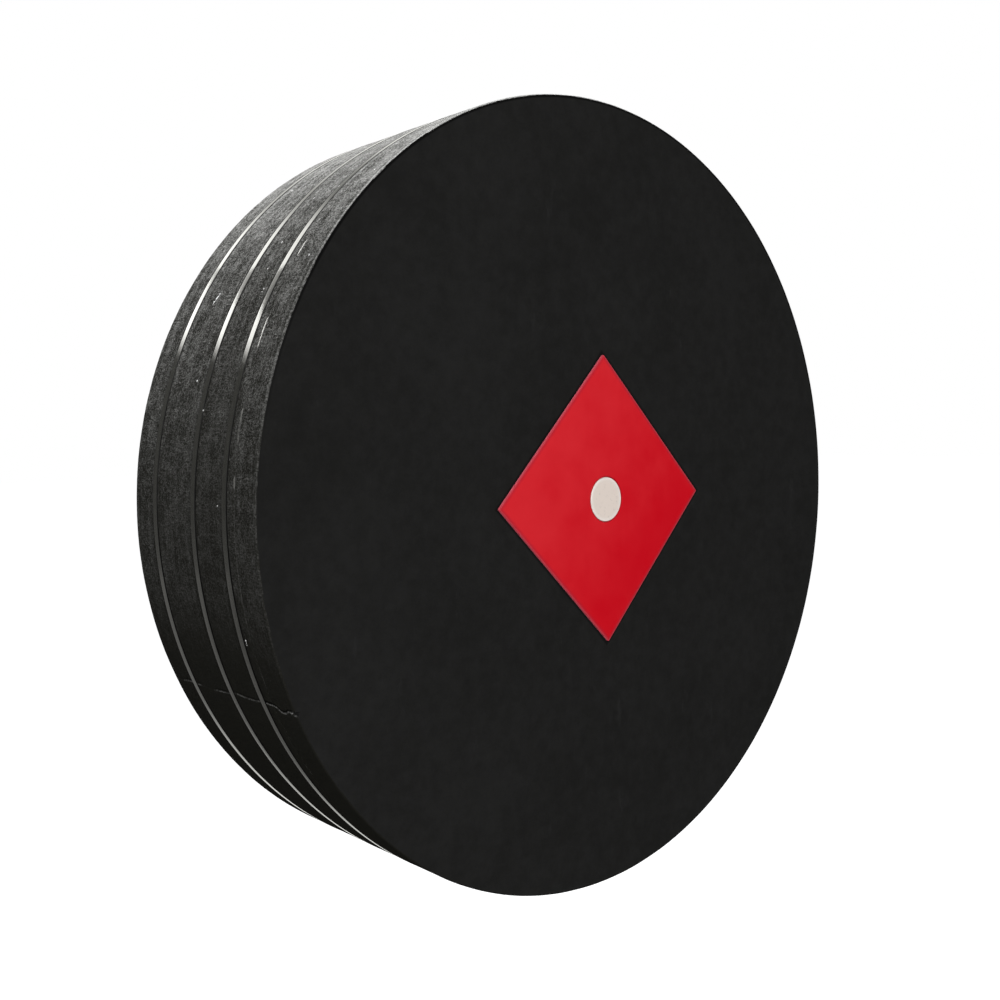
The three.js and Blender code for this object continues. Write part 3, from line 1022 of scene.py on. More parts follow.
# Dark edge colours: painted shade for the gap where the band sits in the foam.
STRAP_EDGE_DARK = grey(0.003)
STRAP_EDGE_LIGHT = grey(0.009)
STRAP_LINE_WIDTH = 0.5 * MM
STRAP_BLOTCH_SIZE = 5 * MM
STRAP_SPECK_SIZE = 1.5 * MM
STRAP_FUZZ_SIZE = 0.9 * MM
STRAP_RELIEF = 0.05 * MM

polished_strap, strap_tree, strap_spot = new_finish("polished_strap")
fine_lines = strap_tree.noise(strap_tree.stretch(strap_spot, 0.05, 1, 0.05), STRAP_LINE_WIDTH, 3.0)
blotches = strap_tree.noise(strap_spot, STRAP_BLOTCH_SIZE, 4.0, 0.65)
strap_specks = strap_tree.noise(strap_spot, STRAP_SPECK_SIZE, 2.0, 0.6)
strap_colour = strap_tree.mix(blotches.ease(0.5, 0.8) * 0.3, STRAP_BLACK, STRAP_DUST)
strap_colour = strap_tree.mix(strap_specks.ease(0.5, 0.68) * 0.3, strap_colour, STRAP_DUST)
end_finish(
    strap_tree,
    {
        "Base Color": strap_colour,
        "Roughness": 0.06 + blotches.ease(0.4, 0.8) * 0.07 + fine_lines.ease(0.5, 0.75) * 0.06,
        "IOR": 1.46,
        "Normal": bump(strap_tree, fine_lines * 0.5 + blotches, STRAP_RELIEF, 0.6),
    },
)

strap_edge, edge_tree, edge_spot = new_finish("strap_edge")
edge_fuzz = edge_tree.noise(edge_spot, STRAP_FUZZ_SIZE, 3.0, 0.6)
edge_share = edge_tree.split(edge_spot)[2] / BOSS_RADIUS
# Pale grey towards the top: the rim's dust and a painted sheen.
edge_dust_and_sheen = edge_share.ease(-0.12, 0.12) * 0.03 + edge_share.ease(0.1, 0.7) * 0.12
edge_colour = edge_tree.mix(edge_fuzz.ease(0.4, 0.8), STRAP_EDGE_DARK, STRAP_EDGE_LIGHT)
end_finish(
    edge_tree,
    {
        "Base Color": edge_tree.mix(edge_dust_and_sheen, edge_colour, DUST_AND_SHEEN_GREY),
        "Roughness": 0.7 + edge_fuzz * 0.2,
        "Specular IOR Level": 0.0,
        "Normal": bump(edge_tree, edge_fuzz, STRAP_RELIEF),
    },
)

# %% [markdown]
# A strap is drawn tight round the rim in its seat, and its outer end is welded over its inner end on the
# side away from the saw line. A flat ring would be quicker to make, but it has no ends, and the weld is
# what holds a real strap. So the rule is a path with a section swept along it. The path climbs by one
# thickness where the band laps over itself, and has close points there.

# %% Path of a strap
STRAP_THICKNESS = 0.7 * MM
STRAP_LAP = 35 * MM
STRAP_CLIMB = 7 * MM
PATH_STEP = 4 * MM
LAP_STEP = 0.4 * MM


def strap_path(joint_degrees):
    """Points of the middle of the band, from its inner end round to its outer end, which laps over it."""
    middle = STRAP_INNER_RADIUS + STRAP_THICKNESS / 2
    start = math.radians(joint_degrees) - STRAP_LAP / 2 / BOSS_RADIUS
    whole_turn = 2 * math.pi * BOSS_RADIUS
    lap_start = whole_turn - STRAP_CLIMB
    arcs = [*np.arange(0, lap_start, PATH_STEP), *np.arange(lap_start, whole_turn + STRAP_LAP, LAP_STEP)]
    points = []
    for arc in arcs:
        share = min(1.0, max(0.0, (arc - lap_start) / STRAP_CLIMB))
        climb = STRAP_THICKNESS * share * share * (3 - 2 * share)
        angle = start + arc / BOSS_RADIUS
        points.append(((middle + climb) * math.cos(angle), (middle + climb) * math.sin(angle), 0))
    return points


# %% Section of a strap
STRAP_EDGE_ROUND = 0.22 * MM
STRAP_CROWN = 0.03 * MM
CORNER_QUARTER_STEPS = 3
CROWN_SHARES = (0.95, 0.6, 0.3, 0, -0.3, -0.6, -0.95)


def strap_section():
    """Closed section of the band: rounded corners, and an outer face that is crowned by a hair."""
    half_width, half_thickness = STRAP_WIDTH / 2, STRAP_THICKNESS / 2
    corner = STRAP_EDGE_ROUND
    points = []
    for side, quarter in ((1, 0), (-1, 1), (-1, 2), (1, 3)):
        out = 1 if quarter < 2 else -1
        for step in range(CORNER_QUARTER_STEPS + 1):
            turn = math.pi / 2 * (quarter + step / CORNER_QUARTER_STEPS)
            across = side * (half_width - corner) + corner * math.cos(turn)
            rise = out * (half_thickness - corner) + corner * math.sin(turn)
            points.append((across, rise))
        if quarter == 0:
            points += [(share * (half_width - corner), half_thickness) for share in CROWN_SHARES]
    shaped = []
    for across, rise in points:
        bulge = STRAP_CROWN * (1 - (across / half_width) ** 2)
        shaped.append((rise - STRAP_CROWN + bulge if rise > 0 else rise, across, 0))
    return shaped[::-1]


section_points = strap_section()
print(f"{len(section_points)} points in a strap's section")

# %% [markdown]
# The source mesh holds the path as (X, Z) points and then the section. Geometry Nodes part the two, sweep
# one along the other, stand the band up and move it to its seat. The weld has fine ribs across the lap.

# %% Tree of a strap
STRAP_SIZES = {
    "Weld rib pitch": 2 * MM,
    "Weld rib depth": 0.15 * MM,
    "Wave size": 30 * MM,
    "Wave depth": 0.05 * MM,
    "Polished half": 3.6 * MM,
}
WELD_FADE = 2 * MM
LAP_RISE = (0.2 * MM, 0.4 * MM)
STRAP_CORNER_DEGREES = 55
UPRIGHT = (math.pi / 2, 0, 0)

strap_shape, strap_in = new_shape_tree(
    "Lapped strap",
    ["Path points"],
    ["Middle Y", "Weld start", "Weld end", *STRAP_SIZES],
    ["Finish", "Edge finish"],
)
is_path = strap_shape.maths(
    "LESS_THAN", strap_shape.add("GeometryNodeInputIndex"), strap_in["Path points"]
)
parts = strap_shape.add(
    "GeometryNodeSeparateGeometry",
    {"domain": "POINT"},
    {"Geometry": strap_in["Geometry"], "Selection": is_path},
)
path = strap_shape.add("GeometryNodeMeshToCurve", {}, {"Mesh": parts["Selection"]})
upright = strap_shape.add("GeometryNodeSetCurveNormal", {"mode": "Z_UP"}, {"Curve": path})
section = strap_shape.add("GeometryNodeMeshToCurve", {}, {"Mesh": parts["Inverted"]})
band = strap_shape.add(
    "GeometryNodeCurveToMesh",
    {},
    {"Curve": upright, "Profile Curve": section, "Fill Caps": True},
)
stood = strap_shape.add("GeometryNodeTransform", {}, {"Geometry": band, "Rotation": UPRIGHT})
placed = strap_shape.moved(stood, strap_shape.join(0.0, strap_in["Middle Y"], 0.0))
strap_place = strap_shape.add("GeometryNodeInputPosition")
place_x, place_y, place_z = strap_shape.split(strap_place)
arc = strap_shape.maths("ARCTAN2", place_z, place_x) * BOSS_RADIUS
ripple = strap_shape.maths("SINE", arc * (2 * math.pi) / strap_in["Weld rib pitch"]) * 0.5 + 0.5
weld = arc.ease(strap_in["Weld start"], strap_in["Weld start"] + WELD_FADE)
weld = weld * arc.ease(strap_in["Weld end"], strap_in["Weld end"] - WELD_FADE)
weld = weld * strap_shape.from_axis(strap_place).ease(*(BOSS_RADIUS + rise for rise in LAP_RISE))
strap_wave = strap_shape.noise(strap_place, strap_in["Wave size"], 1.0)
sink = ripple * weld * strap_in["Weld rib depth"] + strap_wave * strap_in["Wave depth"]
ribbed = strap_shape.pressed_in(placed, strap_place, sink)
is_edge = strap_shape.maths(
    "GREATER_THAN", abs(place_y - strap_in["Middle Y"]), strap_in["Polished half"]
)
smooth_strap = smooth_but_for_corners(strap_shape, ribbed, STRAP_CORNER_DEGREES)
end_shape_tree(strap_shape, smooth_strap, strap_in["Finish"], is_edge, strap_in["Edge finish"])

# %% Make the straps
STRAP_JOINT_DEGREES = dict(zip(STRAP_NODES, (316, 321, 318)))
WELD_INSET = 4 * MM

for node, joint_degrees in STRAP_JOINT_DEGREES.items():
    path_points = strap_path(joint_degrees)
    path_edges = [(place, place + 1) for place in range(len(path_points) - 1)]
    first, count = len(path_points), len(section_points)
    section_edges = [(first + place, first + (place + 1) % count) for place in range(count)]
    joint_arc = math.radians(joint_degrees - 360) * BOSS_RADIUS
    piece = grow(
        "welded_" + node,
        strap_shape,
        line_mesh(node + "_source", path_points + section_points, path_edges + section_edges),
        {
            "Path points": len(path_points),
            "Middle Y": middle_depth(node),
            "Weld start": joint_arc - STRAP_LAP / 2 + WELD_INSET,
            "Weld end": joint_arc + STRAP_LAP / 2 - WELD_INSET,
            **STRAP_SIZES,
            "Finish": polished_strap,
            "Edge finish": strap_edge,
        },
    )
    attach(piece, "root")
    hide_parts(node)
    measure(piece)

# %% [markdown]
# ## Glue
#
# The glue films between the discs are flat discs that the model has already, and they keep its shapes. In
# the crease behind the front sheet some glue was squeezed out. It dried there as a fine bead, and in places
# it was wiped flat over the crease and glints.

# %% Glue finish
GLUE_NODES = ("front_sheet_glue", "front_joint_glue", "middle_joint_glue", "back_joint_glue")
GLUE_DARK = grey(0.020, 0.95)
GLUE_LIGHT = grey(0.105, 0.93)
GLUE_CLOUD_SIZE = 2.5 * MM
GLUE_RELIEF = 0.1 * MM

dried_glue, glue_tree, glue_spot = new_finish("dried_glue")
glue_cloud = glue_tree.noise(glue_spot, GLUE_CLOUD_SIZE, 3.0, 0.6)
end_finish(
    glue_tree,
    {
        "Base Color": glue_tree.mix(glue_cloud.ease(0.3, 0.6), GLUE_DARK, GLUE_LIGHT),
        "Roughness": 0.08 + glue_cloud * 0.16,
        "IOR": 1.48,
        "Normal": bump(glue_tree, glue_cloud, GLUE_RELIEF, 0.6),
    },
)
for node in GLUE_NODES:
    nodes[node].material_slots[0].material = dried_glue

# %% [markdown]
# The bead is a circle with a flat section that swells and rises at each wiped run. A ring could be
# sculpted to the same shape, but a run is easier to move as two angles: the source mesh holds each run as a
# short edge, and the bead swells where it is near one.

# %% Tree of the glue bead
BEAD_RADIUS = BOSS_RADIUS - 0.85 * MM
BEAD_SIZES = {
    "Bead radius": BEAD_RADIUS,
    "Bead Y": CREASE_Y + 0.25 * MM,
    "Thin": 0.12 * MM,
    "Thick": 1.80 * MM,
    "Run fade": 2.5 * MM,
    "Rise": 0.55 * MM,
    "Flatness": 0.16,
}
BEAD_STEPS = 1500
BEAD_SECTION_STEPS = 12
BEAD_LUMP_SIZE = 4 * MM
BEAD_CORNER_DEGREES = 80

bead_tree, bead_in = new_shape_tree("Glue bead", sizes=BEAD_SIZES)
bead_line = bead_tree.add(
    "GeometryNodeCurvePrimitiveCircle", {}, {"Resolution": BEAD_STEPS, "Radius": bead_in["Bead radius"]}
)
bead_place = bead_tree.add("GeometryNodeInputPosition")
to_run = bead_tree.add(
    "GeometryNodeProximity",
    {"target_element": "EDGES"},
    {0: bead_in["Geometry"], "Sample Position": bead_place},
)["Distance"]
bead_lumps = bead_tree.noise(bead_place, BEAD_LUMP_SIZE) * 0.8 + 0.5
swell = to_run.ease(bead_in["Run fade"], 0.0) * bead_lumps
way_out = bead_tree.vector("NORMALIZE", bead_place)
risen = bead_tree.moved(bead_line, bead_tree.vector("SCALE", way_out, swell * bead_in["Rise"]))
bead_size = bead_in["Thin"] + (bead_in["Thick"] - bead_in["Thin"]) * swell
upright_bead = bead_tree.add("GeometryNodeSetCurveNormal", {"mode": "Z_UP"}, {"Curve": risen})
round_section = bead_tree.add(
    "GeometryNodeCurvePrimitiveCircle", {}, {"Resolution": BEAD_SECTION_STEPS, "Radius": 1.0}
)
flat_scale = bead_tree.join(bead_in["Flatness"], 1.0, 1.0)
flat_section = bead_tree.add("GeometryNodeTransform", {}, {"Geometry": round_section, "Scale": flat_scale})
bead = bead_tree.add(
    "GeometryNodeCurveToMesh",
    {},
    {"Curve": upright_bead, "Profile Curve": flat_section, "Scale": bead_size},
)
bead_height = bead_tree.join(0.0, bead_in["Bead Y"], 0.0)
stood_bead = bead_tree.add(
    "GeometryNodeTransform",
    {},
    {"Geometry": bead, "Translation": bead_height, "Rotation": UPRIGHT},
)
smooth_bead = smooth_but_for_corners(bead_tree, stood_bead, BEAD_CORNER_DEGREES)
end_shape_tree(bead_tree, smooth_bead, bead_in["Finish"])

# %% Make the glue bead
GLINTING_RUNS = ((143.55, 145.55), (154.66, 158.48), (166.08, 169.70), (174.1, 174.9))
OTHER_RUNS = 14
OTHER_RUN_DEGREES = (-75, 105)
OTHER_RUN_LENGTHS = (0.3, 2.5)
SEED = 11


def round_axis(radius, degrees):
    """The two coordinates of a place at this radius and angle."""
    return radius * math.cos(math.radians(degrees)), radius * math.sin(math.radians(degrees))


random = np.random.default_rng(SEED)
runs = list(GLINTING_RUNS)
while len(runs) < len(GLINTING_RUNS) + OTHER_RUNS:
    start_degrees = random.uniform(*OTHER_RUN_DEGREES)
    runs.append((start_degrees, start_degrees + random.uniform(*OTHER_RUN_LENGTHS)))
run_points = [(*round_axis(BEAD_RADIUS, degrees), 0) for run in runs for degrees in run]
run_edges = [(2 * place, 2 * place + 1) for place in range(len(runs))]
bead_piece = grow(
    "squeezed_glue_bead",
    bead_tree,
    line_mesh("bead_source", run_points, run_edges),
    {**BEAD_SIZES, "Finish": dried_glue},
)
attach(bead_piece, "root")
measure(bead_piece)

# %% [markdown]
# ## Aiming mark
#
# The diamond is cut from thin red plastic sheet with a round hole, and the white dot is pressed into it.
# Towards the upper left the red is paler and pinker: a painted sheen. Hands have rubbed it dull in a band
# along its sides. At the very edge it is pale pink, a painted highlight on its bevel, and the cut wall is
# paler, partly its own colour and partly a painted highlight. Close round the hole the red has painted shade.
# The dot is cream, with smudges and a paler rim.

# %% Red sheet
RED_PAINTED_SHEEN = (0.565, 0.0160, 0.0230, 1)
RED_FULL = (0.482, 0.0006, 0.0072, 1)
RED_HANDLED = (0.330, 0.0110, 0.0250, 1)
RED_EDGE_HIGHLIGHT = (0.480, 0.0550, 0.0700, 1)
RED_SHADED = (0.200, 0.0040, 0.0080, 1)
RED_WALL_AND_HIGHLIGHT = (0.60, 0.10, 0.135, 1)
RED_WALL_DEEP = (0.52, 0.07, 0.095, 1)
SHEEN_PATCH_SIZE = 45 * MM
SMEAR_WIDTH = 9 * MM
SHEET_PEBBLE_SIZE = 0.7 * MM
WALL_GRAIN_SIZE = 4 * MM
SHEET_RELIEF = 0.05 * MM
SIDE_OVERRUN = 0.6 * MM
HANDLED_BAND = (5.0 * MM, 0.4 * MM)
EDGE_HIGHLIGHT_BAND = (1.8 * MM, 0.4 * MM)
HOLE_SHADE_BAND = (1.8 * MM, 0.3 * MM)

red_sheet, red_tree, red_spot = new_finish("red_sheet")
red_x, _, red_z = red_tree.split(red_spot)
sheen_patches = red_tree.noise(red_spot, SHEEN_PATCH_SIZE, 3.0, 0.55)
sheet_pebble = red_tree.noise(red_spot, SHEET_PEBBLE_SIZE, 2.0, 0.6)
smears = red_tree.noise(red_tree.stretch(red_spot, 1, 1, 0.25), SMEAR_WIDTH, 4.0, 0.7)
# Painted sheen: the red is paler and pinker towards the upper left.
fade = 0.46 - red_x * 3.4 + red_z * 2.6 + (sheen_patches - 0.5) * 1.1
red_colour = red_tree.mix(fade.ease(-0.1, 1.1), RED_FULL, RED_PAINTED_SHEEN)
side_gap = (DIAMOND_HALF + SIDE_OVERRUN - abs(red_x) - abs(red_z)) * COS_45
red_colour = red_tree.mix(side_gap.ease(*HANDLED_BAND) * 0.8, red_colour, RED_HANDLED)
# Painted highlight: pale pink at the very edge of the sheet.
red_colour = red_tree.mix(side_gap.ease(*EDGE_HIGHLIGHT_BAND) * 0.55, red_colour, RED_EDGE_HIGHLIGHT)
hole_gap = red_tree.from_axis(red_spot) - HOLE_RADIUS
red_colour = red_tree.mix(hole_gap.ease(*HOLE_SHADE_BAND) * 0.5, red_colour, RED_SHADED)
end_finish(
    red_tree,
    {
        "Base Color": red_colour,
        "Roughness": 0.45 + smears.ease(0.4, 0.75) * 0.15,
        "Specular IOR Level": 0.05,
        "Normal": bump(red_tree, sheet_pebble * 0.4 + smears, SHEET_RELIEF, 0.7),
    },
)

# The cut wall is paler: partly the cut, partly a painted highlight.
red_cut_edge, wall_tree, wall_spot = new_finish("red_cut_edge")
wall_grain = wall_tree.noise(wall_spot, WALL_GRAIN_SIZE, 3.0, 0.55)
end_finish(
    wall_tree,
    {
        "Base Color": wall_tree.mix(wall_grain.ease(0.3, 0.75), RED_WALL_AND_HIGHLIGHT, RED_WALL_DEEP),
        "Roughness": 0.6 + wall_grain * 0.15,
        "Specular IOR Level": 0.12,
        "Normal": bump(wall_tree, wall_grain, SHEET_RELIEF, 0.7),
    },
)

# %% Cream sheet and adhesive
CREAM = (0.645, 0.565, 0.505, 1)
CREAM_SMUDGE = (0.43, 0.38, 0.35, 1)
CREAM_RIM = (0.78, 0.72, 0.68, 1)
CREAM_RIM_RADII = (18.5 * MM, 21.5 * MM)
SMUDGE_SIZE = 4.5 * MM
CREAM_CLOUD_SIZE = 15 * MM
ADHESIVE_DARK = (0.42, 0.35, 0.25, 1)
ADHESIVE_LIGHT = (0.55, 0.46, 0.33, 1)
WEB_SIZE = 3 * MM
ADHESIVE_RELIEF = 0.1 * MM

cream_sheet, cream_tree, cream_spot = new_finish("cream_sheet")
smudges = cream_tree.noise(cream_spot, SMUDGE_SIZE, 5.0, 0.7)
cream_cloud = cream_tree.noise(cream_spot, CREAM_CLOUD_SIZE)
cream_rim = cream_tree.from_axis(cream_spot).ease(*CREAM_RIM_RADII)
cream_colour = cream_tree.mix(smudges.ease(0.54, 0.70) * 0.55, CREAM, CREAM_SMUDGE)
end_finish(
    cream_tree,
    {
        "Base Color": cream_tree.mix(cream_rim * 0.5, cream_colour, CREAM_RIM),
        "Roughness": 0.45 + cream_cloud * 0.15,
        "Specular IOR Level": 0.15,
        "Normal": bump(cream_tree, smudges, SHEET_RELIEF, 0.6),
    },
)

tacky_adhesive, adhesive_tree, adhesive_spot = new_finish("tacky_adhesive")
webs = adhesive_tree.noise(adhesive_spot, WEB_SIZE, 4.0, 0.6)
end_finish(
    adhesive_tree,
    {
        "Base Color": adhesive_tree.mix(webs, ADHESIVE_DARK, ADHESIVE_LIGHT),
        "Roughness": 0.3 + webs * 0.3,
        "Normal": bump(adhesive_tree, webs, ADHESIVE_RELIEF),
    },
)
nodes["mark_adhesive"].material_slots[0].material = tacky_adhesive

# %% [markdown]
# A cut sheet has a crisp edge with a tiny bevel and a face that isn't quite flat: it has eased in broad
# shallow waves. A Boolean would cut the hole at once, and leave long thin faces on which a gentle wave
# shades badly. So the mesh is rings of points that change from the round hole to the square outline, which
# keeps its faces even. Each ring has the same number of points, so two rings are joined by one row of faces.

# %% Outlines of the diamond
CORNER_ROUND = 1.5 * MM
SMALLEST_CORNER = 0.1 * MM
SIDE_STEPS = 44
CORNER_STEPS = 6
HOLLOW = 0.10 * MM


def diamond_outline(inset):
    """Points of the diamond's outline, drawn in by inset, from the right corner round."""
    corner_radius = max(CORNER_ROUND - inset, SMALLEST_CORNER)
    reach = DIAMOND_HALF + CORNER_ROUND * (math.sqrt(2) - 1) - inset * math.sqrt(2)
    centre_reach = reach - corner_radius * math.sqrt(2)
    points = []
    for corner in range(4):
        facing = math.pi / 2 * corner
        centre = Vector((math.cos(facing), math.sin(facing))) * centre_reach
        turns = [facing - math.pi / 4 + math.pi / 2 * step / CORNER_STEPS for step in range(CORNER_STEPS + 1)]
        arc = [centre + Vector((math.cos(turn), math.sin(turn))) * corner_radius for turn in turns]
        if points:
            start = points[-1]
            points += [start.lerp(arc[0], step / SIDE_STEPS) for step in range(1, SIDE_STEPS)]
        points += arc
    start, end = points[-1], points[0]
    points += [start.lerp(end, step / SIDE_STEPS) for step in range(1, SIDE_STEPS)]
    return points


def circle_like(outline, radius):
    """Points on a circle in the directions of an outline's points."""
    return [point.normalized() * radius for point in outline]


def warp(point):
    """How far the face lies behind its highest plane, where it has eased in waves."""
    x, z = point
    waves = math.sin(31 * x + 1.1) * math.sin(27 * z + 0.4) + 0.5 * math.sin(67 * x - 48 * z)
    return HOLLOW * (0.5 + waves / 3)


# %% Rings of the diamond
SHEET_BEVEL = 0.35 * MM
SHEET_BEVEL_SHARE = 0.3
HOLE_BEVEL = 0.5 * MM
HOLE_BEVEL_SHARES = (0.2, 0.35)
FACE_RING_COUNT = 26

outer = diamond_outline(0)
rings = []


def add_ring(flat_points, y, kind):
    """Adds a ring of points at a depth. A ring of the face also follows its waves."""
    hollows = [warp(point) if kind == "face" else 0.0 for point in flat_points]
    ring = [(point.x, y + hollow, point.y) for point, hollow in zip(flat_points, hollows)]
    rings.append((ring, kind))


hole_out, hole_down = HOLE_BEVEL_SHARES
add_ring(circle_like(outer, HOLE_RADIUS), DIAMOND_BACK_Y, "back")
add_ring(circle_like(outer, HOLE_RADIUS), DIAMOND_FRONT_Y + HOLE_BEVEL + HOLLOW, "wall")
hole_bevel_ring = circle_like(outer, HOLE_RADIUS + hole_out * HOLE_BEVEL)
add_ring(hole_bevel_ring, DIAMOND_FRONT_Y + hole_down * HOLE_BEVEL + HOLLOW, "bevel")
inner_ring = circle_like(outer, HOLE_RADIUS + HOLE_BEVEL)
outer_ring = diamond_outline(SHEET_BEVEL)
for step in range(FACE_RING_COUNT + 1):
    share = step / FACE_RING_COUNT
    add_ring([a.lerp(b, share) for a, b in zip(inner_ring, outer_ring)], DIAMOND_FRONT_Y, "face")
sheet_bevel_ring = diamond_outline(SHEET_BEVEL_SHARE * SHEET_BEVEL)
add_ring(sheet_bevel_ring, DIAMOND_FRONT_Y + SHEET_BEVEL_SHARE * SHEET_BEVEL + HOLLOW, "bevel")
add_ring(outer, DIAMOND_FRONT_Y + SHEET_BEVEL + HOLLOW, "wall")
add_ring(outer, DIAMOND_BACK_Y, "back")
print(f"{len(rings)} rings of {len(outer)} points")

# %% Make the diamond
DIAMOND_CORNER_DEGREES = 40

count = len(outer)
vertices = [point for ring, _ in rings for point in ring]
faces, wall_faces = [], []
for ring in range(len(rings)):
    following = (ring + 1) % len(rings)
    kinds = {rings[ring][1], rings[following][1]}
    for place in range(count):
        beside = (place + 1) % count
        corners = ((ring, place), (following, place), (following, beside), (ring, beside))
        faces.append(tuple(row * count + column for row, column in corners))
        wall_faces.append(int(kinds == {"back", "wall"}))
diamond_mesh = bpy.data.meshes.new("red_diamond")
diamond_mesh.from_pydata(vertices, [], faces)
diamond_mesh.materials.append(red_sheet)
diamond_mesh.materials.append(red_cut_edge)
diamond_mesh.polygons.foreach_set("material_index", wall_faces)
diamond_mesh.polygons.foreach_set("use_smooth", [True] * len(faces))
diamond_mesh.set_sharp_from_angle(angle=math.radians(DIAMOND_CORNER_DEGREES))
diamond = bpy.data.objects.new("red_diamond", diamond_mesh)
scene.collection.objects.link(diamond)
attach(diamond, "root")
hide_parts("aiming_diamond")
measure(diamond)

# %% [markdown]
# The dot is turned by the same rule as the foam: its profile, turned about the axis. It was punched out, so
# its edge is a little rolled over.

# %% Make the dot
DOT_ROLL = 0.6 * MM
DOT_STEPS = 160
DOT_FACE_SHARES = (0, 0.3, 0.6, 0.9, 1)
DOT_BACK_SHARE = 0.98
DOT_CORNER_DEGREES = 50

dot_tree, dot_in = new_shape_tree("Punched dot", ["Profile points"])
turned_dot = turned(dot_tree, dot_in["Geometry"], dot_in["Profile points"])
smooth_dot = smooth_but_for_corners(dot_tree, turned_dot, DOT_CORNER_DEGREES)
end_shape_tree(dot_tree, smooth_dot, dot_in["Finish"])

dot_front, dot_back = depth_range("aiming_dot")
dot_profile = [(share * (DOT_RADIUS - DOT_ROLL), dot_front) for share in DOT_FACE_SHARES]
dot_profile += [
    (DOT_RADIUS - DOT_ROLL * (1 - math.sin(turn)), dot_front + DOT_ROLL * (1 - math.cos(turn)))
    for turn in EDGE_TURNS[1:]
]
dot_profile += [(DOT_RADIUS, dot_back), (DOT_RADIUS * DOT_BACK_SHARE, dot_back), (0, dot_back)]
dot_turns = [2 * math.pi * step / DOT_STEPS for step in range(DOT_STEPS + 1)]
dot_points = [(radius, y, 0) for radius, y in dot_profile] + [(turn, 0, 0) for turn in dot_turns]
dot = grow(
    "cream_dot",
    dot_tree,
    line_mesh("dot_source", dot_points, []),
    {"Profile points": len(dot_profile), "Finish": cream_sheet},
)
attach(dot, "root")
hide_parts("aiming_dot")
measure(dot)

# %% [markdown]
# ## Crumbs
#
# A few pale crumbs of foam cling to the sawn rim. White dots in the material would look painted on from
# the side, so they are real. One crumb is a small lumpy ball, and Geometry Nodes put a flattened copy on
# each point of the source mesh, turned to lie on the rim.

# %% Crumb finish
CRUMB_DARK = grey(0.45)
CRUMB_LIGHT = grey(0.85)
CRUMB_GRAIN_SIZE = 0.5 * MM
CRUMB_RELIEF = 0.1 * MM

crumb_foam_and_glints, crumb_tree, crumb_spot = new_finish("crumb_foam_and_glints")
crumb_grain = crumb_tree.noise(crumb_spot, CRUMB_GRAIN_SIZE)
end_finish(
    crumb_tree,
    {
        "Base Color": crumb_tree.mix(crumb_grain.ease(0.35, 0.65), CRUMB_DARK, CRUMB_LIGHT),
        "Roughness": 0.8,
        "Specular IOR Level": 0.2,
        "Normal": bump(crumb_tree, crumb_grain, CRUMB_RELIEF),
    },
)

# %% Tree of the crumbs
CRUMB_SHAPE = (1.0, 0.65, 0.4)
CRUMB_LUMP_SHARE = 0.9
CRUMB_LUMP_HEIGHT = 1.1
ANY_TURN = 3.1

crumb_shape, crumb_in = new_shape_tree("Crumbs", ["Seed"], ["Smallest", "Largest"])
ball = crumb_shape.add("GeometryNodeMeshIcoSphere", {}, {"Radius": 1.0, "Subdivisions": 2})
ball_place = crumb_shape.add("GeometryNodeInputPosition")
lumps = (crumb_shape.noise(ball_place, CRUMB_LUMP_SHARE) - 0.5) * CRUMB_LUMP_HEIGHT
crumb = crumb_shape.moved(ball, crumb_shape.vector("SCALE", ball_place, lumps))
outwards = crumb_shape.stretch(ball_place, 1, 0, 1)
lie = crumb_shape.add("FunctionNodeAlignRotationToVector", {"axis": "Z"}, {"Vector": outwards})
spin = crumb_shape.add(
    "FunctionNodeRandomValue",
    {"data_type": "FLOAT_VECTOR"},
    {"Min": (0, 0, -ANY_TURN), "Max": (0, 0, ANY_TURN), "Seed": crumb_in["Seed"]},
)
spun = crumb_shape.add("FunctionNodeRotateRotation", {"rotation_space": "LOCAL"}, {0: lie, 1: spin})
size = crumb_shape.add(
    "FunctionNodeRandomValue",
    {"data_type": "FLOAT"},
    {"Min": crumb_in["Smallest"], "Max": crumb_in["Largest"], "Seed": crumb_in["Seed"] + 1},
)
flattened = crumb_shape.vector("SCALE", crumb_shape.join(*CRUMB_SHAPE), size)
scattered = crumb_shape.add(
    "GeometryNodeInstanceOnPoints",
    {},
    {"Points": crumb_in["Geometry"], "Instance": crumb, "Rotation": spun, "Scale": flattened},
)
end_shape_tree(crumb_shape, scattered, crumb_in["Finish"])

# %% [markdown]
# The crumbs on the left stand where they are seen, by their angle in degrees and their depth behind the front
# face in millimetres. Close ones make a smear. A few of them are pale lumps that stand for glints, so they
# are painted highlights: the smear near 150 degrees and the one on the middle strap near 166 degrees. The
# others are strewn over the hidden side at random, but not on the straps.

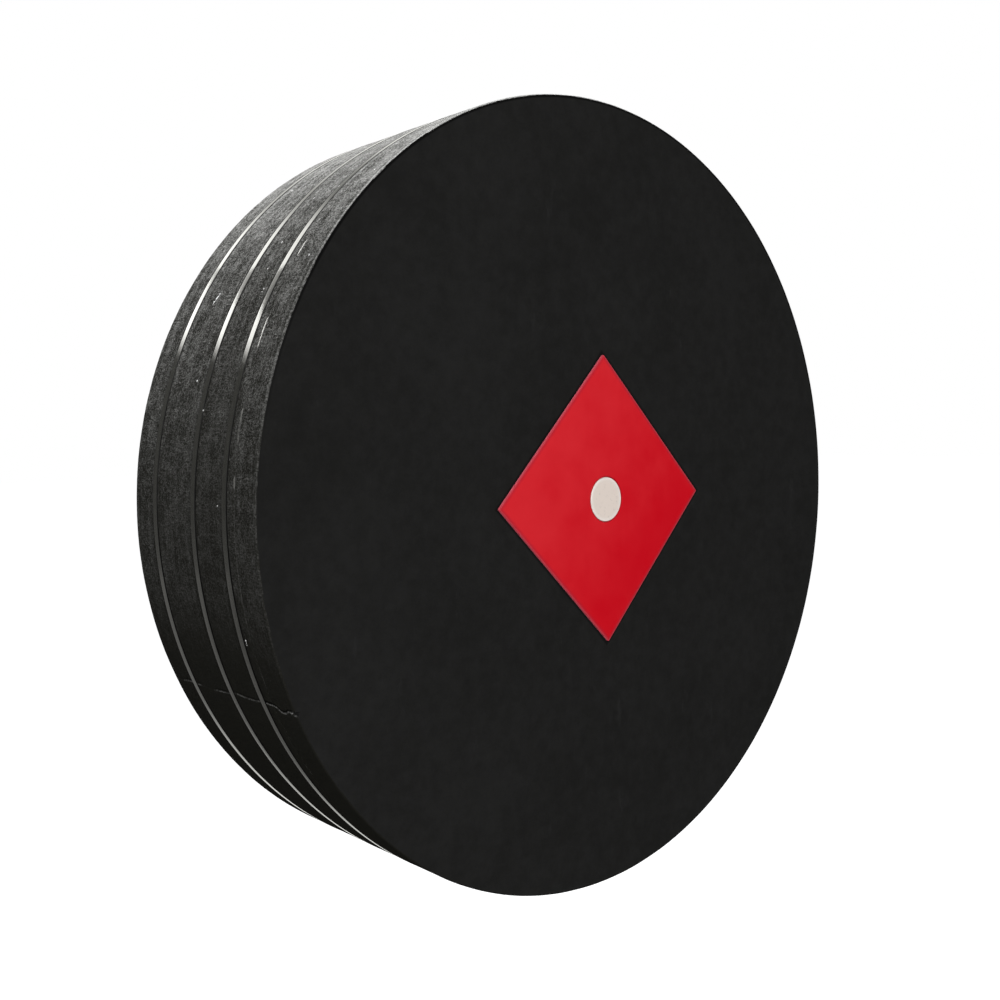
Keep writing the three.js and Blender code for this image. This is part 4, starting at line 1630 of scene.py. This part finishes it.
# %% Make the crumbs
# Some of these are painted highlights: pale lumps placed where glints are.
SEEN_CRUMBS_AND_GLINTS = (
    (149.5, 146.2), (149.7, 146.6), (149.9, 147.0), (150.05, 147.5), (150.2, 148.0), (150.35, 148.6),
    (150.5, 149.2), (150.65, 149.8), (150.8, 150.4), (149.8, 147.5), (149.95, 148.0), (150.1, 148.7),
    (150.6, 150.4), (146.9, 77.0), (150.1, 65.2), (150.5, 65.7), (161.9, 127.0), (177.3, 62.8),
    (193.4, 43.7), (193.7, 43.8), (194.0, 43.9), (134.4, 86.5), (133.2, 55.0), (129.7, 161.7),
    (124.1, 80.4), (131.4, 14.2), (142.6, 80.9), (146.2, 15.2), (165.8, 103.4),
)
OTHER_CRUMBS = 22
OTHER_CRUMB_DEGREES = (-115, 112)
CRUMB_EDGE_GAP = 6 * MM
CRUMB_STRAP_GAP = 3 * MM
CRUMB_SINK = 0.5 * MM

crumb_and_glint_places = [(degrees, FRONT_Y + depth * MM) for degrees, depth in SEEN_CRUMBS_AND_GLINTS]
strap_depths = [depth_range(node) for node in STRAP_NODES]
while len(crumb_and_glint_places) < len(SEEN_CRUMBS_AND_GLINTS) + OTHER_CRUMBS:
    degrees = random.uniform(*OTHER_CRUMB_DEGREES)
    y = random.uniform(FRONT_Y + CRUMB_EDGE_GAP, -CRUMB_EDGE_GAP)
    if all(y < low - CRUMB_STRAP_GAP or y > high + CRUMB_STRAP_GAP for low, high in strap_depths):
        crumb_and_glint_places.append((degrees, y))
crumb_and_glint_points = []
for degrees, y in crumb_and_glint_places:
    x, z = round_axis(BOSS_RADIUS - CRUMB_SINK, degrees)
    crumb_and_glint_points.append((x, y, z))
crumbs_and_glints = grow(
    "foam_crumbs_and_glints",
    crumb_shape,
    line_mesh("crumb_source", crumb_and_glint_points, []),
    {"Smallest": 0.8 * MM, "Largest": 1.3 * MM, "Seed": SEED, "Finish": crumb_foam_and_glints},
)
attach(crumbs_and_glints, "root")
measure(crumbs_and_glints)
